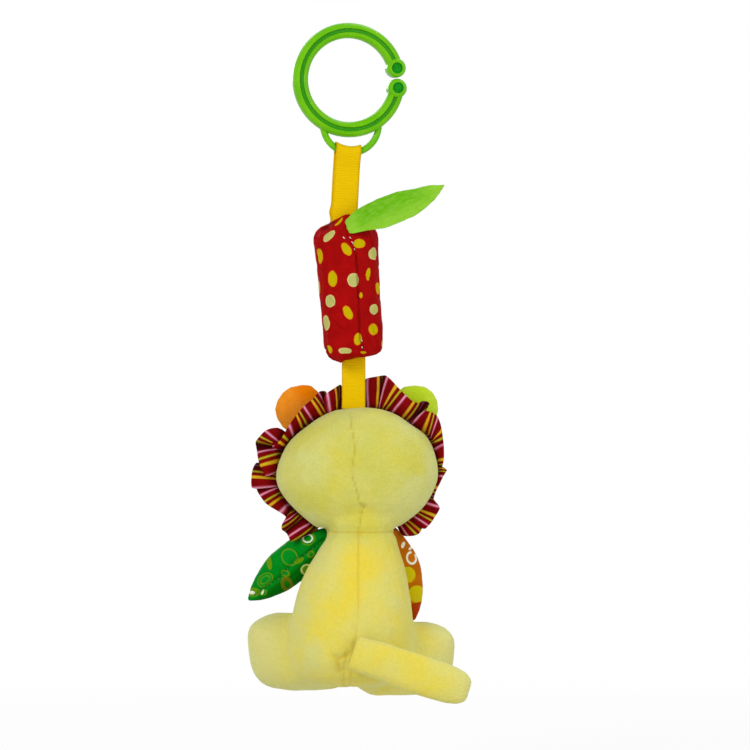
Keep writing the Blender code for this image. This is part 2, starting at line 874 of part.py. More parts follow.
def make_leaf(finish, parent):
    along = Vector((math.cos(LEAF_RISE), -math.sin(LEAF_REACH), math.sin(LEAF_RISE))).normalized()
    rings = []
    steps = 11
    for step in range(steps + 1):
        share = step / steps
        roll = LEAF_ROOT_ROLL + (LEAF_TIP_ROLL - LEAF_ROOT_ROLL) * math.sqrt(share)
        out = Vector((0, -math.cos(roll), math.sin(roll)))
        out = (out - along * out.dot(along)).normalized()
        up = along.cross(out)
        if up.z < 0:
            up = -up
        half = LEAF_WIDTH / 2 * curve_value(LEAF_SHARES, share)
        plump = LEAF_EDGE_SHARE + (1 - LEAF_EDGE_SHARE) * curve_value(LEAF_SHARES, share)
        sway = LEAF_SAG * math.sin(math.pi * share)
        centre = along * LEAF_LENGTH * share + out * sway
        rings.append(oval(centre, up, out, half, LEAF_THICK / 2 * plump, LEAF_POWER, 12))
    return solid("leaf", *skin(rings), finish, parent, leaf_root())


# Head


def head_outline(grow=0.0, count=44):
    """(side, height) points from the neck's left corner over the top to its right corner."""
    fine = []
    for step in range(81):
        drop = (1 - math.cos(math.pi * step / 80)) / 2
        half = HEAD_WIDTH / 2 * curve_value(HEAD_OUTLINE_SHARES, drop)
        fine.append((half, -HEAD_HEIGHT * drop))
    path = [(-half, height) for half, height in fine[::-1]] + fine
    return [grown(point, grow) for point in spaced(path, count)]


def grown(point, grow):
    side, height = point
    middle = -HEAD_HEIGHT / 2
    scale = 1 + grow / math.hypot(side, height - middle)
    return side * scale, middle + (height - middle) * scale


def spaced(path, count):
    """Evenly spaced points along a path of (x, y) pairs."""
    lengths = [0.0]
    for (x, y), (u, v) in zip(path, path[1:]):
        lengths.append(lengths[-1] + math.hypot(u - x, v - y))
    points = []
    index = 0
    for step in range(count):
        target = lengths[-1] * step / (count - 1)
        while index < len(path) - 2 and lengths[index + 1] < target:
            index += 1
        share = (target - lengths[index]) / (lengths[index + 1] - lengths[index])
        (x, y), (u, v) = path[index], path[index + 1]
        points.append((x + (u - x) * share, y + (v - y) * share))
    return points


def head_top():
    """World place of the top of the head's outline, on its middle line."""
    return lion_hinge() + Vector((HEAD_SIDE_SHIFT, 0, -LOWER_END_R - SEAT_GAP))


def head_dome(depth, sign, grow=0.0):
    """One half of the head: rings that shrink as they leave the seam, towards a flattened pole."""
    face = MANE_SETBACK + sign * (MANE_THICK / 2 + SEAT_GAP - grow)
    reach = depth + 2 * grow
    outline = head_outline(grow)
    middle = -HEAD_HEIGHT / 2
    rings = []
    steps = 7
    for step in range(steps):
        angle = math.pi / 2 * step / steps
        scale = math.cos(angle) ** HEAD_DOME_POWER
        out = face + sign * reach * math.sin(angle)
        rings.append([Vector((x * scale, out, middle + (z - middle) * scale)) for x, z in outline])
    return skin(rings, end_tip=Vector((0, face + sign * reach, middle)))


def make_head(finish, parent, room):
    back = solid("head_back", *head_dome(HEAD_BACK_DEPTH, -1), finish, parent, head_top())
    front = solid("head_front", *head_dome(HEAD_FRONT_DEPTH, 1), finish, parent, head_top())
    combine(back, room, "DIFFERENCE")
    combine(front, room, "DIFFERENCE")
    return back, front


def bulge(wide, deep, high, count=20, steps=8):
    """A padded rounded form about zero, built from level rings."""
    rings = []
    for step in range(1, steps):
        angle = math.pi * step / steps
        size = math.sin(angle) ** PAD_POLE_POWER
        height = -high / 2 * math.cos(angle)
        across, back = wide / 2 * size, deep / 2 * size
        rings.append(oval((0, 0, height), X_AXIS, Y_AXIS, across, back, PAD_POWER, count))
    return skin(rings, start_tip=Vector((0, 0, -high / 2)), end_tip=Vector((0, 0, high / 2)))


def face_room(parent):
    shape = head_dome(HEAD_FRONT_DEPTH, 1, SEAT_GAP)
    return helper(solid("face_room", *shape, None, parent, head_top()))


def face_front(drop):
    """Distance from the seam plane to the face's surface, on its middle line, at a drop from the top."""
    middle = HEAD_HEIGHT / 2
    share = min(abs(drop - middle) / middle, 1)
    angle = math.acos(share ** (1 / HEAD_DOME_POWER))
    return MANE_SETBACK + MANE_THICK / 2 + SEAT_GAP + HEAD_FRONT_DEPTH * math.sin(angle)


def make_muzzle(finish, parent, room):
    place = head_top() + Vector((0, face_front(MUZZLE_DROP), -MUZZLE_DROP))
    shape = bulge(MUZZLE_WIDTH, 2 * MUZZLE_DEPTH, MUZZLE_HEIGHT, count=24)
    muzzle = solid("muzzle", *shape, finish, parent, place)
    combine(muzzle, room, "DIFFERENCE")
    return place


def make_nose(finish, parent, muzzle_place):
    out = MUZZLE_DEPTH * NOSE_OUT_SHARE
    place = muzzle_place + Vector((0, out, MUZZLE_HEIGHT * NOSE_RISE_SHARE))
    nose = solid("nose", *bulge(NOSE_WIDTH, 2 * NOSE_DEPTH, NOSE_HEIGHT, 14, 7), finish, parent, place)
    gap = 2 * SEAT_GAP
    shape = bulge(MUZZLE_WIDTH + gap, 2 * MUZZLE_DEPTH + gap, MUZZLE_HEIGHT + gap, count=24)
    combine(nose, solid("nose_room", *shape, None, parent, muzzle_place), "DIFFERENCE")


def make_mane(finish, parent, room):
    """A gathered strip round the seam, waving towards and away from the face as it stands out."""
    count = MANE_FOLDS * 5 + 1
    outline = head_outline(0.0, count)
    rows = []
    for index, (x, z) in enumerate(outline):
        before, after = outline[max(index - 1, 0)], outline[min(index + 1, count - 1)]
        along = Vector((after[0] - before[0], 0, after[1] - before[1])).normalized()
        outward = Y_AXIS.cross(along) * -1
        place = index / (count - 1)
        height = MANE_HEIGHT * curve_value(MANE_HEIGHT_SHARES, place)
        wave = math.sin(math.tau * MANE_FOLDS * place)
        near_strap = math.exp(-(((x + HEAD_SIDE_SHIFT) / RIBBON_WIDTH) ** 4)) if z > -HEAD_HEIGHT / 4 else 0
        near_neck = max(0, 1 - min(place, 1 - place) / MANE_NECK_SHARE)
        root = Vector((x, MANE_SETBACK, z))
        row = [root - outward * MANE_ROOT]
        for share in MANE_SHARES:
            sway = MANE_WAVE * wave * (1 - near_strap) * (1 - near_neck / 2)
            sway += MANE_STRAP_LEAN * near_strap - MANE_NECK_LEAN * near_neck
            ripple = 1 + MANE_RIPPLE_SHARE * math.cos(math.tau * MANE_FOLDS * place + 1)
            lean = Y_AXIS * sway * share**MANE_SWAY_POWER
            row.append(root + outward * height * share * ripple + lean)
        rows.append(row)
    mane = solid("mane", *sheet(rows, MANE_THICK), finish, parent, head_top())
    combine(mane, room, "DIFFERENCE")
    return mane


# Ears


def ear_place(side):
    spread = EAR_SPREAD_LEFT if side < 0 else EAR_SPREAD_RIGHT
    return head_top() + Vector((side * spread, EAR_SETBACK, -EAR_DROP))


def ear_hinge(side):
    """At the foot of the ear's face side, where it bends forward."""
    inward = head_top() + Vector((0, 0, -HEAD_HEIGHT / 2)) - ear_place(side)
    inward.y = 0
    foot = inward.normalized() * EAR_HEIGHT * EAR_FOOT_SHARE
    return ear_place(side) + foot + Y_AXIS * EAR_THICK * EAR_FACE_SHARE


def make_ear(name, side, finish, parent, room):
    place = ear_place(side)
    shape = bulge(EAR_WIDTH, EAR_THICK, EAR_HEIGHT, 20, 8)
    points = [point + place - ear_hinge(side) for point in shape[0]]
    ear = solid(name, points, shape[1], finish, parent, ear_hinge(side))
    combine(ear, room, "DIFFERENCE")
    return ear


# Body and limbs


def neck_place():
    """World place of the neck seam's middle."""
    drop = LOWER_END_R + SEAT_GAP + HEAD_HEIGHT
    return lion_hinge() + Vector((BODY_TOP_SHIFT, BODY_SETBACK, -drop))


def body_shape(grow=0.0):
    """Level rings from the base up to the neck, which rises into the head."""
    rings = []
    for drop in BODY_RING_SHARES:
        wide = BODY_WIDTH / 2 * curve_value(BODY_WIDTH_SHARES, drop) + grow
        deep = BODY_DEPTH / 2 * curve_value(BODY_DEPTH_SHARES, drop) + grow
        rings.append(body_oval(drop, wide, deep, grow if drop == 1.0 else 0))
    wide = BODY_WIDTH / 2 * BODY_WIDTH_SHARES[0][1] + grow
    deep = BODY_DEPTH / 2 * BODY_DEPTH_SHARES[0][1] + grow
    for rise, size in NECK_RING_SHARES:
        up = (NECK_RISE + grow) * rise
        rings.append(oval((0, 0, up), X_AXIS, Y_AXIS, wide * size, deep * size, NECK_POWER, 32))
    return skin(rings)


def body_oval(drop, wide, deep, lower):
    turn = math.pi / 2 * min(drop / BODY_SHIFT_SHARE, 1)
    shift = (BODY_BASE_SHIFT - BODY_TOP_SHIFT) * math.sin(turn)
    centre = (shift, 0, -BODY_HEIGHT * drop - lower)
    return oval(centre, X_AXIS, Y_AXIS, wide, deep, PAD_POWER, 32)


def body_base():
    return neck_place().z - BODY_HEIGHT


def make_arm(name, side, direction, finish, parent, room):
    """A plump leaf-shaped arm, its root at the hinge and cut by the body."""
    along = Vector(direction).normalized()
    across = along.cross(Y_AXIS).normalized()
    deep = across.cross(along)
    rings = []
    steps = 11
    for step in range(steps + 1):
        share = step / steps
        size = curve_value(ARM_SHARES, share)
        centre = along * ARM_LENGTH * share
        rings.append(oval(centre, across, deep, ARM_WIDTH / 2 * size, ARM_THICK / 2 * size, 2, 16))
    arm = solid(name, *skin(rings), finish, parent, arm_root(side))
    combine(arm, room, "DIFFERENCE")
    return arm


def arm_root(side):
    if side < 0:
        return neck_place() + Vector((-ARM_LEFT_SPREAD, ARM_ROOT_SETBACK, -ARM_LEFT_DROP))
    return neck_place() + Vector((ARM_RIGHT_SPREAD, ARM_ROOT_SETBACK, -ARM_RIGHT_DROP))


def make_leg(name, side, radius, length, lift, finish, parent, room):
    along = Vector((side * math.sin(LEG_SPLAY), math.cos(LEG_SPLAY), 0))
    across = along.cross(Z_AXIS)
    rings = []
    for share in LEG_RING_SHARES:
        size = radius * curve_value(LEG_SHARES, share)
        rings.append(oval(along * length * share, across, Z_AXIS, size, size, PAD_POWER, 24))
    hip = Vector((lion_hinge().x + side * LEG_HIP_SPREAD, neck_place().y, body_base() + lift))
    leg = solid(name, *skin(rings), finish, parent, hip)
    combine(leg, room, "DIFFERENCE")
    return leg


def tail_hinge():
    """On the body's back, at the middle of the tail's sewn root."""
    drop = (BODY_HEIGHT - TAIL_LIFT) / BODY_HEIGHT
    deep = BODY_DEPTH / 2 * curve_value(BODY_DEPTH_SHARES, drop)
    shift = BODY_BASE_SHIFT - BODY_TOP_SHIFT + TAIL_ROOT_SHIFT
    return neck_place() + Vector((shift, -deep - SEAT_GAP, TAIL_LIFT - BODY_HEIGHT))


def tail_direction():
    flat = math.cos(TAIL_DIP)
    return Vector((flat * math.cos(TAIL_REACH), -flat * math.sin(TAIL_REACH), -math.sin(TAIL_DIP)))


def make_tail(finish, parent, room):
    along = tail_direction()
    out = along.cross(Z_AXIS).normalized()
    up = out.cross(along)
    rings = []
    for share in TAIL_RING_SHARES:
        size = curve_value(TAIL_SHARES, share)
        centre = along * TAIL_LENGTH * share + out * TAIL_THICK * TAIL_OUT_SHARE
        half_up, half_out = TAIL_WIDTH / 2 * size, TAIL_THICK / 2 * size
        rings.append(oval(centre, up, out, half_up, half_out, TAIL_POWER, 18))
    tail = solid("tail", *skin(rings), finish, parent, tail_hinge())
    combine(tail, room, "DIFFERENCE")
    return tail


def main():
    clear_scene()
    green_plastic = material("ring_plastic", (0.12, 0.42, 0.0), 0.28)
    ribbon = material("ribbon", (0.75, 0.50, 0.01), 0.62)
    red_print = material("sleeve_cloth", (0.30, 0.005, 0.01), 0.72)
    leaf_cloth = material("leaf_cloth", (0.20, 0.50, 0.03), 0.75)
    wadding = material("wadding", (0.85, 0.84, 0.80), 0.95)
    case_plastic = material("case_plastic", (0.70, 0.72, 0.72), 0.35)
    steel = material("rod_steel", (0.60, 0.61, 0.62), 0.25, 1.0)
    brass = material("striker_brass", (0.70, 0.52, 0.22), 0.3, 1.0)
    plush = material("body_plush", (0.80, 0.72, 0.16), 0.9)
    cream = material("muzzle_plush", (0.86, 0.80, 0.62), 0.9)
    brown = material("nose_cloth", (0.12, 0.05, 0.03), 0.8)
    stripes = material("mane_cloth", (0.28, 0.02, 0.03), 0.75)
    orange = material("ear_left_plush", (0.86, 0.30, 0.02), 0.9)
    lime = material("ear_right_plush", (0.45, 0.66, 0.05), 0.9)
    green_print = material("arm_left_cloth", (0.0, 0.22, 0.03), 0.72)
    orange_print = material("arm_right_cloth", (0.55, 0.13, 0.01), 0.72)

    make_ring(green_plastic)
    strap = pivot("strap_pivot", strap_hinge())
    make_upper_strap(ribbon, strap)

    sleeve = pivot("sleeve_pivot", sleeve_hinge(), strap)
    make_sleeve_cover(red_print, sleeve)
    make_sleeve_top(red_print, sleeve)
    make_sleeve_base(red_print, sleeve)
    make_wadding(wadding, sleeve)
    make_case(case_plastic, sleeve)
    make_cap(case_plastic, sleeve)
    make_plate(case_plastic, sleeve)
    for index in range(len(ROD_LENGTHS)):
        make_rod(index, steel, sleeve)
    make_striker(brass, sleeve)
    make_leaf(leaf_cloth, sleeve)

    lower = pivot("lower_strap_pivot", lower_hinge(), sleeve)
    make_lower_strap(ribbon, lower)

    lion = pivot("lion_pivot", lion_hinge(), lower)
    room = helper(solid("body_room", *body_shape(SEAT_GAP), None, lion, neck_place()))
    solid("body", *body_shape(), plush, lion, neck_place())
    make_head(plush, lion, room)
    face = face_room(lion)
    muzzle_place = make_muzzle(cream, lion, face)
    make_nose(brown, lion, muzzle_place)
    make_mane(stripes, lion, room)
    make_ear("ear_left", -1, orange, lion, face)
    make_ear("ear_right", 1, lime, lion, face)
    make_arm("arm_left", -1, ARM_LEFT_DIRECTION, green_print, lion, room)
    make_arm("arm_right", 1, ARM_RIGHT_DIRECTION, orange_print, lion, room)
    make_leg("leg_left", -1, LEG_R_LEFT, LEG_LEFT_LENGTH, LEG_LEFT_LIFT, plush, lion, room)
    make_leg("leg_right", 1, LEG_R_RIGHT, LEG_RIGHT_LENGTH, LEG_RIGHT_LIFT, plush, lion, room)
    make_tail(plush, lion, room)


main()
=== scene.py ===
"""The looks of a plush lion rattle that hangs from a split ring."""

import json
import math

import bmesh
import bpy
import numpy as np
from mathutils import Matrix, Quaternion, Vector, noise
from mathutils.bvhtree import BVHTree
from mathutils.kdtree import KDTree

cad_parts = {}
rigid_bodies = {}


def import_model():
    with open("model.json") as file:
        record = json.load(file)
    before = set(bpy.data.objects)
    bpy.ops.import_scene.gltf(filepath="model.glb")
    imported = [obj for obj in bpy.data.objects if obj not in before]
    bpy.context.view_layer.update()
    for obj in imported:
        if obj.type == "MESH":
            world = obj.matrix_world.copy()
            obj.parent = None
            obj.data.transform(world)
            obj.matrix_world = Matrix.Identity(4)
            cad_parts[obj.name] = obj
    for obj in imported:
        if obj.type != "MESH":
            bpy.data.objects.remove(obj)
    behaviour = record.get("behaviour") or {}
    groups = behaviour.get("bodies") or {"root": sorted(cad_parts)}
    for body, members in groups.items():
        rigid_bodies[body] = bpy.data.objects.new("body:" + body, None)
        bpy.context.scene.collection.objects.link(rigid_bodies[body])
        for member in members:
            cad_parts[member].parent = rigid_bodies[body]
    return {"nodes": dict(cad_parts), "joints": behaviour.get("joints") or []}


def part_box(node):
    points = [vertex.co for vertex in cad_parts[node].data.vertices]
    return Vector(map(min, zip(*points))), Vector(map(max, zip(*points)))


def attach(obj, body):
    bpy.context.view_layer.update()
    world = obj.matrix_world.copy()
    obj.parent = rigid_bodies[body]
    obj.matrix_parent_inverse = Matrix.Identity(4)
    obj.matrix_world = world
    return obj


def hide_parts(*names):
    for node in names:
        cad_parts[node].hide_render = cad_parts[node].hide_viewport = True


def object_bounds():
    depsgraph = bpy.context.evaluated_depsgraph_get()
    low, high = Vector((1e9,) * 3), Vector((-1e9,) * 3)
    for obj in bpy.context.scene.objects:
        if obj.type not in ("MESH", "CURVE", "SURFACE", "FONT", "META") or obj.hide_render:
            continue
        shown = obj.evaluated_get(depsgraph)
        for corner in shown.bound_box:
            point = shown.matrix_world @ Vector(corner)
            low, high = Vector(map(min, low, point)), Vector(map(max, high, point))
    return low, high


for thing in list(bpy.data.objects):
    bpy.data.objects.remove(thing)
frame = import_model()
CAD_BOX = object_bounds()
JOINTS = {joint["name"]: joint for joint in frame["joints"]}

# Scale of the photograph, in metres for each of its pixels, and the pixel that lies on the origin
PIXEL = 0.00056
MIDDLE_PIXEL = 348.7
TOP_PIXEL = 38.4
MM = 0.001

# Camera and stage
CAMERA_PIXEL = (375, 375)
CAMERA_AWAY = 2.5
CAMERA_SPAN = 0.42
SENSOR = 0.036
FLOOR_DROP = 0.05
STAGE_HALF = 4.0
SHADOW_REACH = 0.55
SHADOW_LEVEL = 0.86
WORLD_LEVEL = 0.48
# Lamps: place from where the camera looks, size and watts
LAMPS = {
    "key": ((-1.1, -1.7, 1.3), 1.0, 24.5),
    "fill": ((1.5, -1.5, 0.5), 1.4, 13),
    "rear": ((0.5, 0.45, 1.5), 0.8, 6),
    "behind": ((-0.9, 1.8, 0.8), 1.2, 12),
}

# Meshing: how near doubled corners lie, and a distance beyond anything in the scene
WELD = 0.00001
BEYOND = 9.0
UP = Vector((0, 0, 1))
TOWARDS = Vector((0, -1, 0))
AWAY = Vector((0, 1, 0))

# Stuffed pieces: their cloth's pressure and stiffness, the frames simulated, the share of the mean growth that is
# taken back, and how many simulated corners carry each corner of the fine mesh
CLOTH_PRESSURE = 4.0
CLOTH_STIFFNESS = 12.0
CLOTH_FRAMES = 20
CLOTH_SHRINK = 0.9
CARRY_POINTS = 6
SMALL_VOXEL = 0.0022
SMALL_CAP = 0.0008


def spot(across, down, depth=0.0):
    """Where a pixel of the photograph lies, at a depth behind the middle plane."""
    return Vector(((across - MIDDLE_PIXEL) * PIXEL, depth, (TOP_PIXEL - down) * PIXEL))


def colour(red, green, blue):
    """A colour given as on screen, from 0 to 255."""
    made = []
    for value in (red, green, blue):
        share = value / 255
        made.append(share / 12.92 if share <= 0.04045 else ((share + 0.055) / 1.055) ** 2.4)
    return (*made, 1.0)


# Materials


class Net:
    """Adds nodes to one new material and joins them."""

    def __init__(self, name, roughness=0.6, metallic=0.0, specular=0.5, sheen=0.0, sheen_tint=None, coat=0.0):
        self.material = bpy.data.materials.new(name)
        self.material.use_nodes = True
        self.tree = self.material.node_tree
        self.shader = next(node for node in self.tree.nodes if node.type == "BSDF_PRINCIPLED")
        settings = {
            "Roughness": roughness,
            "Metallic": metallic,
            "Specular IOR Level": specular,
            "Sheen Weight": sheen,
            "Sheen Roughness": 0.45,
            "Coat Weight": coat,
            "Coat Roughness": 0.08,
        }
        for socket, value in settings.items():
            self.shader.inputs[socket].default_value = value
        if sheen_tint:
            self.shader.inputs["Sheen Tint"].default_value = sheen_tint

    def node(self, kind, inputs, out=0, **settings):
        made = self.tree.nodes.new(kind)
        for name, value in settings.items():
            setattr(made, name, value)
        for name, value in inputs.items():
            socket = made.inputs[name]
            if isinstance(value, bpy.types.NodeSocket):
                self.tree.links.new(value, socket)
            else:
                socket.default_value = value
        return made.outputs[out]

    def math(self, operation, first, second=0.0, third=0.0):
        return self.node("ShaderNodeMath", {0: first, 1: second, 2: third}, operation=operation)

    def times(self, first, second):
        return self.math("MULTIPLY", first, second)

    def most(self, first, second):
        return self.math("MAXIMUM", first, second)

    def off(self, value, centre):
        """How far a value is from its centre."""
        return self.math("ABSOLUTE", self.math("SUBTRACT", value, centre))

    def mix(self, share, first, second):
        return self.node("ShaderNodeMix", {0: share, 6: first, 7: second}, out=2, data_type="RGBA")

    def ramp(self, value, low, high, start=0.0, end=1.0):
        inputs = {"Value": value, "From Min": low, "From Max": high, "To Min": start, "To Max": end}
        return self.node("ShaderNodeMapRange", inputs, interpolation_type="SMOOTHSTEP")

    def place(self):
        return self.node("ShaderNodeTexCoord", {}, out="Object")

    def uv(self):
        return self.node("ShaderNodeTexCoord", {}, out="UV")

    def noise(self, vector, scale, detail=2.0, out="Fac"):
        inputs = {"Vector": vector, "Scale": scale, "Detail": detail}
        return self.node("ShaderNodeTexNoise", inputs, out=out)

    def wave(self, vector, scale, direction):
        inputs = {"Vector": vector, "Scale": scale, "Distortion": 0.0}
        return self.node("ShaderNodeTexWave", inputs, out="Fac", wave_type="BANDS", bands_direction=direction)

    def moved(self, vector, place=(0, 0, 0), turn=(0, 0, 0), scale=(1, 1, 1), kind="POINT"):
        inputs = {"Vector": vector, "Location": place, "Rotation": turn, "Scale": scale}
        return self.node("ShaderNodeMapping", inputs, vector_type=kind)

    def parts(self, vector):
        made = self.tree.nodes.new("ShaderNodeSeparateXYZ")
        self.tree.links.new(vector, made.inputs[0])
        return made.outputs

    def joined(self, x, y, z=0.0):
        return self.node("ShaderNodeCombineXYZ", {"X": x, "Y": y, "Z": z})

    def length(self, vector):
        return self.node("ShaderNodeVectorMath", {0: vector}, out="Value", operation="LENGTH")

    def dot(self, vector, other):
        inputs = {0: vector, 1: other}
        return self.node("ShaderNodeVectorMath", inputs, out="Value", operation="DOT_PRODUCT")

    def mark(self, name):
        return self.node("ShaderNodeAttribute", {}, out="Fac", attribute_name=name)

    def bump(self, height, distance, strength=1.0, under=None):
        inputs = {"Height": height, "Distance": distance, "Strength": strength}
        if under is not None:
            inputs["Normal"] = under
        return self.node("ShaderNodeBump", inputs, out="Normal")

    def finish(self, base, normal=None, roughness=None):
        self.tree.links.new(base, self.shader.inputs["Base Color"])
        if normal is not None:
            self.tree.links.new(normal, self.shader.inputs["Normal"])
        if roughness is not None:
            self.tree.links.new(roughness, self.shader.inputs["Roughness"])
        return self.material

    def inside(self, vector, marks, rim):
        """How far into the nearest of these ovals a point lies: the whole and its rim."""
        nearest = BEYOND
        for across, down, half_across, half_down, tilt in marks:
            local = self.moved(
                vector, (across, down, 0), (0, 0, -math.radians(tilt)), (half_across, half_down, 1), "TEXTURE"
            )
            nearest = self.math("MINIMUM", self.length(local), nearest)
        whole = self.ramp(nearest, 0.92, 1.06, 1.0, 0.0)
        middle = self.ramp(nearest, rim - 0.08, rim + 0.08, 1.0, 0.0)
        return whole, middle


def pile(net, place, tone, seam, deep=1.0):
    """Short clipped pile over a tone: fine speckle, darkened seams with painted shade in the marked creases, and the
    unevenness of the fibres.
    """
    speckle = net.noise(place, 1300, 3.0)
    tone = net.mix(net.ramp(speckle, 0.30, 0.62, 0.20, 0.0), tone, seam)
    # Darker along the marks: the seams' own dark lines, and painted shade in the creases.
    tone = net.mix(net.times(net.mark("seam"), 0.6), tone, seam)
    soft = net.noise(place, 300, 3.0)
    strands = net.noise(net.moved(place, scale=(1, 1, 0.45)), 1900, 3.0)
    normal = net.bump(soft, 0.0011 * deep, 0.6)
    normal = net.bump(strands, 0.0005 * deep, 0.8, normal)
    return net.finish(tone, normal)


def plush(name, base, warm, pale, seam):
    """Plush with warm and pale clouds where its pile is brushed."""
    net = Net(name, roughness=0.95, specular=0.03, sheen=0.6, sheen_tint=pale)
    place = net.place()
    clouds = net.ramp(net.noise(place, 60, 2.0), 0.40, 0.70)
    patches = net.ramp(net.noise(net.moved(place, (0.4, 0.2, 0.9)), 42, 2.0), 0.40, 0.70, 0.0, 0.35)
    tone = net.mix(clouds, base, warm)
    tone = net.mix(patches, tone, pale)
    return pile(net, place, tone, seam, 0.7)


def lion_material():
    """Yellow plush with painted light: darker on the head than below the neck, and warmer down the middle and paler at
    the sides, but for the tail, as a painted sheen; paler too where it is brushed.
    """
    net = Net("lion_plush", roughness=0.95, specular=0.03, sheen=0.60, sheen_tint=colour(206, 226, 200))
    place = net.place()
    side, _, high = net.parts(place)
    neck = spot(LION_MIDDLE_PIXEL, NECK_SEAM_PIXEL)
    # Painted light: below the neck the plush is lighter and warmer than on the head.
    below = net.ramp(high, neck.z + 0.008, neck.z - 0.016)
    # Painted sheen: the middle warmer, the sides paler.
    painted_sheen_middle = net.ramp(net.off(side, neck.x), 0.030, 0.006)
    clouds = net.ramp(net.noise(net.moved(place, (0.31, 0.1, 0.02)), 52, 2.0), 0.36, 0.68)
    patches = net.ramp(net.noise(net.moved(place, (0.4, 0.2, 0.9)), 40, 3.0), 0.36, 0.66)
    tone = net.mix(below, colour(203, 200, 88), colour(224, 212, 92))
    # Warm clouds where the pile is brushed, the pile's own tone, made stronger down the middle and below the neck as
    # painted light.
    warm = net.times(clouds, net.math("MULTIPLY_ADD", painted_sheen_middle, 0.45, 0.25))
    warm = net.times(warm, net.math("MULTIPLY_ADD", below, 0.5, 0.4))
    tone = net.mix(warm, tone, colour(236, 208, 34))
    # Pale patches where the pile is brushed, the pile's own tone, made stronger towards the sides as a painted sheen.
    pale = net.times(patches, net.math("MULTIPLY_ADD", painted_sheen_middle, -0.35, 0.75))
    tone = net.mix(pale, tone, colour(212, 214, 138))
    # Painted sheen: paler still at the far sides, but not on the tail.
    outer = net.ramp(net.off(side, neck.x), 0.032, 0.052, 0.0, 0.7)
    outer = net.times(outer, net.math("SUBTRACT", 1.0, net.mark("tail")))
    tone = net.mix(outer, tone, colour(214, 213, 138))
    # The seams' tone, darker on the head than below the neck: painted light.
    return pile(net, place, tone, net.mix(below, colour(172, 156, 58), colour(212, 176, 44)))


def weave(net, vector, threads, distance, under=None):
    """Plain weave: two crossed sets of threads, as a normal."""
    across = net.wave(vector, threads, "X")
    along = net.wave(vector, threads, "Y")
    return net.bump(net.times(across, along), distance, 0.6, under)


def ribbon_material():
    """Grosgrain: ribs across the ribbon, a closer edge on both sides, and a silky face."""
    net = Net("ribbon_grosgrain", roughness=0.55, specular=0.03)
    across, along, _ = net.parts(net.uv())
    ribs = net.wave(net.joined(along, across), 345, "X")
    edge = net.ramp(net.math("ABSOLUTE", across), 0.0056, 0.0066)
    fine = net.noise(net.joined(net.times(across, 6.0), along), 900, 2.0)
    tone = net.mix(ribs, colour(222, 178, 0), colour(234, 194, 0))
    tone = net.mix(net.times(edge, 0.35), tone, colour(206, 150, 0))
    tone = net.mix(net.ramp(fine, 0.35, 0.7, 0.0, 0.12), tone, colour(244, 212, 30))
    normal = net.bump(ribs, 0.00014, 0.7)
    normal = net.bump(fine, 0.0001, 0.5, normal)
    return net.finish(tone, normal)


def ring_material():
    """Glossy moulded plastic, darker in the groove and in the dimples."""
    net = Net("ring_gloss", roughness=0.3, specular=0.09, coat=0.05)
    turn = (0, -RING_ROLL, RING_YAW)
    local = net.moved(net.place(), tuple(ring_centre()), turn, (1, 1, 1), "TEXTURE")
    side, deep, high = net.parts(local)
    away = net.length(net.joined(side, high))
    facing = net.ramp(deep, -RING_DEPTH / 2 + 0.0014, -RING_DEPTH / 2 + 0.0004, 1.0, 0.0)
    groove = net.ramp(net.off(away, RING_MID_R), GROOVE_HALF, GROOVE_HALF + 0.0003, 1.0, 0.0)
    face = net.ramp(deep, -0.0020, -0.0014, 1.0, 0.0)
    dimple = 0.0
    for angle in KNOB_ANGLES:
        centre = (RING_MID_R * math.cos(angle), 0, RING_MID_R * math.sin(angle))
        knob = net.parts(net.moved(local, centre, kind="TEXTURE"))
        spread = net.length(net.joined(knob[0], knob[2]))
        groove = net.times(groove, net.ramp(spread, KNOB_R - 0.0002, KNOB_R + 0.0002))
        dimple = net.most(dimple, net.ramp(spread, DIMPLE_R, DIMPLE_R + 0.0003, 1.0, 0.0))
    groove = net.times(net.times(groove, facing), net.ramp(deep, -0.001, 0.0, 1.0, 0.0))
    deep_parts = net.most(groove, net.times(dimple, face))
    cloud = net.ramp(net.noise(net.place(), 90, 2.0), 0.35, 0.7)
    tone = net.mix(cloud, colour(98, 180, 0), colour(112, 188, 6))
    tone = net.mix(deep_parts, tone, colour(0, 136, 0))
    normal = net.bump(net.noise(net.place(), 260, 2.0), 0.00012, 0.5)
    rough = net.ramp(net.noise(net.place(), 600, 2.0), 0.3, 0.8, 0.18, 0.30)
    return net.finish(tone, normal, rough)


def back_print(net, across, down):
    """Regular rows of ovals on the far side: the yellow ones, the cream ones and their middles."""
    back = net.ramp(net.math("ABSOLUTE", across), BACK_ARC, BACK_ARC + 0.0002)
    rows = net.math("DIVIDE", down, BACK_CELL[1])
    row = net.math("FLOOR", rows)
    half_step = net.times(net.math("PINGPONG", row, 1.0), 0.5)
    column = net.math("ADD", net.math("DIVIDE", across, BACK_CELL[0]), half_step)
    odd = net.math("PINGPONG", net.math("ADD", net.math("FLOOR", column), row), 1.0)
    cell = [
        net.times(net.math("SUBTRACT", net.math("FRACT", place), 0.5), size / half)
        for place, size, half in zip((column, rows), BACK_CELL, BACK_OVAL)
    ]
    spread = net.length(net.joined(*cell))
    whole = net.times(net.ramp(spread, 0.92, 1.06, 1.0, 0.0), back)
    middle = net.times(net.ramp(spread, 0.74, 0.88, 1.0, 0.0), back)
    return net.times(whole, odd), net.times(whole, net.math("SUBTRACT", 1.0, odd)), middle


